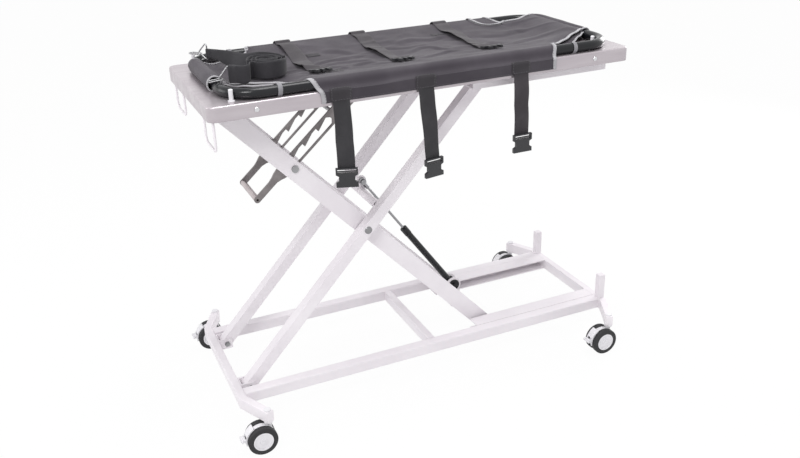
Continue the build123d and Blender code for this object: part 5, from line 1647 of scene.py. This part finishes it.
@dataclass
class CarryStrap:
    """Shoulder strap rolled up from its middle, its tails looped through rings at the corners."""

    bed: Bed
    width: float = 42.0 * MM
    thick: float = 2.2 * MM
    bed_clear: float = 0.8 * MM
    inset: float = 134.0 * MM
    near_by: float = -46.0 * MM
    step: float = 9.0 * MM
    seed: float = 9.0 * MM
    turns: int = 3
    ring_lift: float = 25.0 * MM
    near_bend: float = 35.0 * MM
    near_lead: float = 12.0 * MM
    near_turn: float = 75.0
    near_long: float = 30.0 * MM
    near_back: float = 22.0 * MM
    near_rise: float = 74.0 * MM
    far_bend: float = 60.0 * MM
    far_turn: float = 38.0
    far_long: float = 205.0 * MM
    far_back: float = 34.0 * MM
    loop_r: float = 3.4 * MM
    loop_gap: float = 2.6 * MM
    gather_long: float = 80.0 * MM
    gather_share: float = 0.45
    gather_low: float = 5.0 * MM
    settle: tuple[float, float, float] = (-3.0 * MM, -9.0 * MM, 0.0)
    settle_run: float = 55.0 * MM
    bow: float = 30.0 * MM
    droops: tuple[float, float] = (5.0 * MM, 8.0 * MM)
    tilts: tuple[float, float] = (-0.12, 0.3)
    uneven: float = 1.2 * MM
    roll_tilt: float = 0.05
    arc_step: float = 5.0 * MM
    points: int = 320

    def __post_init__(self) -> None:
        """Work out the roll's middle and its outer radius."""
        self.centre = Vector((self.bed.places.left_x + self.inset, self.near_by, 0.0))
        self.outer = 2 * self.seed + self.step * self.turns

    def arc(self, middle: Vector, radius: float, start: float, turn: float) -> list[Vector]:
        """Points along an arc in plan.

        Args:
            middle: centre of the arc.
            radius: its radius.
            start: angle where it starts, in degrees.
            turn: angle that it turns through, in degrees.

        Returns:
            Points from the start on.
        """
        count = max(4, round(abs(math.radians(turn)) * radius / self.arc_step))
        return [middle + radius * plan_way(start + turn * i / count) for i in range(count + 1)]

    def arm(self, flip: int) -> list[Vector]:
        """Half turns of growing radius outward from the middle of the roll.

        Args:
            flip: 1 or -1, one arm of the doubled spiral.

        Returns:
            Points from the middle outward.
        """
        path = self.arc(Vector((self.seed, 0.0, 0.0)), self.seed, 180, 180)
        edge = 2 * self.seed
        for turn in range(self.turns):
            radius = 2 * self.seed + self.step * (turn + 0.5)
            way = -1 if turn % 2 == 0 else 1
            path += self.arc(Vector((edge + way * radius, 0.0, 0.0)), radius, 0 if way < 0 else 180, 180)[1:]
            edge += 2 * way * radius
        return [self.centre + flip * q for q in path]

    def loop(self, end: Vector, heading: float, back: float) -> list[Vector]:
        """Turn a tail's end round the ring's bar and lay it back on itself.

        Args:
            end: end of the tail before the ring.
            heading: direction of the tail, in degrees.
            back: length laid back.

        Returns:
            Points of the tail's last stretch.
        """
        ahead = plan_way(heading)
        side = Vector((-ahead.y, ahead.x, 0.0))
        bar = end + ahead * self.loop_gap
        turn = [bar + (side * math.cos(a) + ahead * math.sin(a)) * self.loop_r
                for a in (math.pi * i / 6 for i in range(7))]
        before = [end - ahead * 12 * MM, end - ahead * 5 * MM + side * 2.2 * MM]
        return [*before, *turn, end - ahead * 5 * MM - side * 3.0 * MM, end - ahead * back - side * 2.8 * MM]

    def route(self) -> tuple[list[Vector], float]:
        """Line of the whole strap in plan, from the near ring through the roll to the far ring.

        Returns:
            Points of the line, and how far the far ring is from the roll's middle.
        """
        side = Vector((self.outer, 0.0, 0.0))
        near_middle = self.centre - side - Vector((self.near_bend, self.near_lead, 0.0))
        near_tail = self.arc(near_middle, self.near_bend, 0, -self.near_turn)
        near_end = near_tail[-1] + plan_way(-90 - self.near_turn) * self.near_long
        near_tail += self.loop(near_end, -90 - self.near_turn, self.near_back)
        far_middle = self.centre + side - Vector((self.far_bend, 0.0, 0.0))
        far_tail = self.arc(far_middle, self.far_bend, 0, self.far_turn)
        far_end = far_tail[-1] + plan_way(90 + self.far_turn) * self.far_long
        far_tail += self.loop(far_end, 90 + self.far_turn, self.far_back)
        path = (self.arm(-1) + near_tail)[::-1] + (self.arm(1) + far_tail[1:])[1:]
        return even_path(path, self.points), (far_end - self.centre).length

    def build(self) -> None:
        """Roll the strap and run its tails to the rings."""
        bed = self.bed
        line, far_ring = self.route()
        spots = [self.centre + Vector((a, b, 0.0)) * self.outer for a in (-1, 0, 1) for b in (-1, 0, 1)]
        base = max(bed.place(spot.x, spot.y).z for spot in spots)
        base += bed.cloth / 2 + self.bed_clear + self.width / 2
        held = bed.places.tube_z + self.ring_lift
        spine = []
        across = []
        for i, point in enumerate(line):
            t = i / (len(line) - 1)
            on_far = t > 0.5
            away = (point - self.centre).length
            out = ease((away - self.outer) / (far_ring - self.outer if on_far else self.near_rise))
            hang = math.sin(math.pi * out)
            gather = ease((away - far_ring + self.gather_long) / self.gather_long) if on_far else 0.0
            height = base + (held - base) * out + self.uneven * math.sin(40 * t) * (1 - out)
            height -= self.droops[on_far] * hang + self.gather_low * gather
            slid = Vector(self.settle) * (1 - ease((away - self.outer) / self.settle_run))
            bowed = Vector((0.0, -self.bow * hang if on_far else 0.0, 0.0))
            spine.append(Vector((point.x, point.y, height)) + slid + bowed)
            ahead = (line[min(i + 1, len(line) - 1)] - line[max(i - 1, 0)]).normalized()
            tilt = self.roll_tilt * math.sin(21 * t + 0.5) * (1 - out) + self.tilts[on_far] * hang
            across.append((UP + ahead.cross(UP) * tilt).normalized() * (1 - self.gather_share * gather))
        piece = strap_piece("carry_strap_roll", spine, across, self.width)
        made = piece.build(COIL_WEBBING, "stretcher", "webbing", thick=self.thick)
        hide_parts("carry_strap")


def main() -> None:
    """Build the studio, dress the metalwork and sew the stretcher's soft goods."""
    logging.basicConfig(level=logging.INFO, format="%(name)s: %(message)s")
    places = Places.read()
    Studio(places).build()
    Metalwork().build()
    bed = Bed(places)
    bed.build()
    binding = Binding(bed)
    binding.build()
    EndSleeve(places, "left", places.left_x, way=-1, radius=18.2 * MM, near=88 * MM, far=124 * MM,
              near_open=1.0).build()
    EndSleeve(places, "right", places.right_x, way=1, radius=15.2 * MM, near=78 * MM, far=178 * MM,
              near_open=0.97).build()
    TubeBands(places).build()
    CrossStraps(bed).build()
    hanging = HangingStraps(bed)
    hanging.build()
    patches = Patches(bed, hanging.sewn)
    patches.build()
    hems = [bed.hem_seam(side) for side in Side]
    joins = [bed.seam(side, bed.join_share) for side in Side]
    Stitching(binding.seams + patches.seams + hems + joins).build()
    CarryStrap(bed).build()


if __name__ == "__main__":
    main()
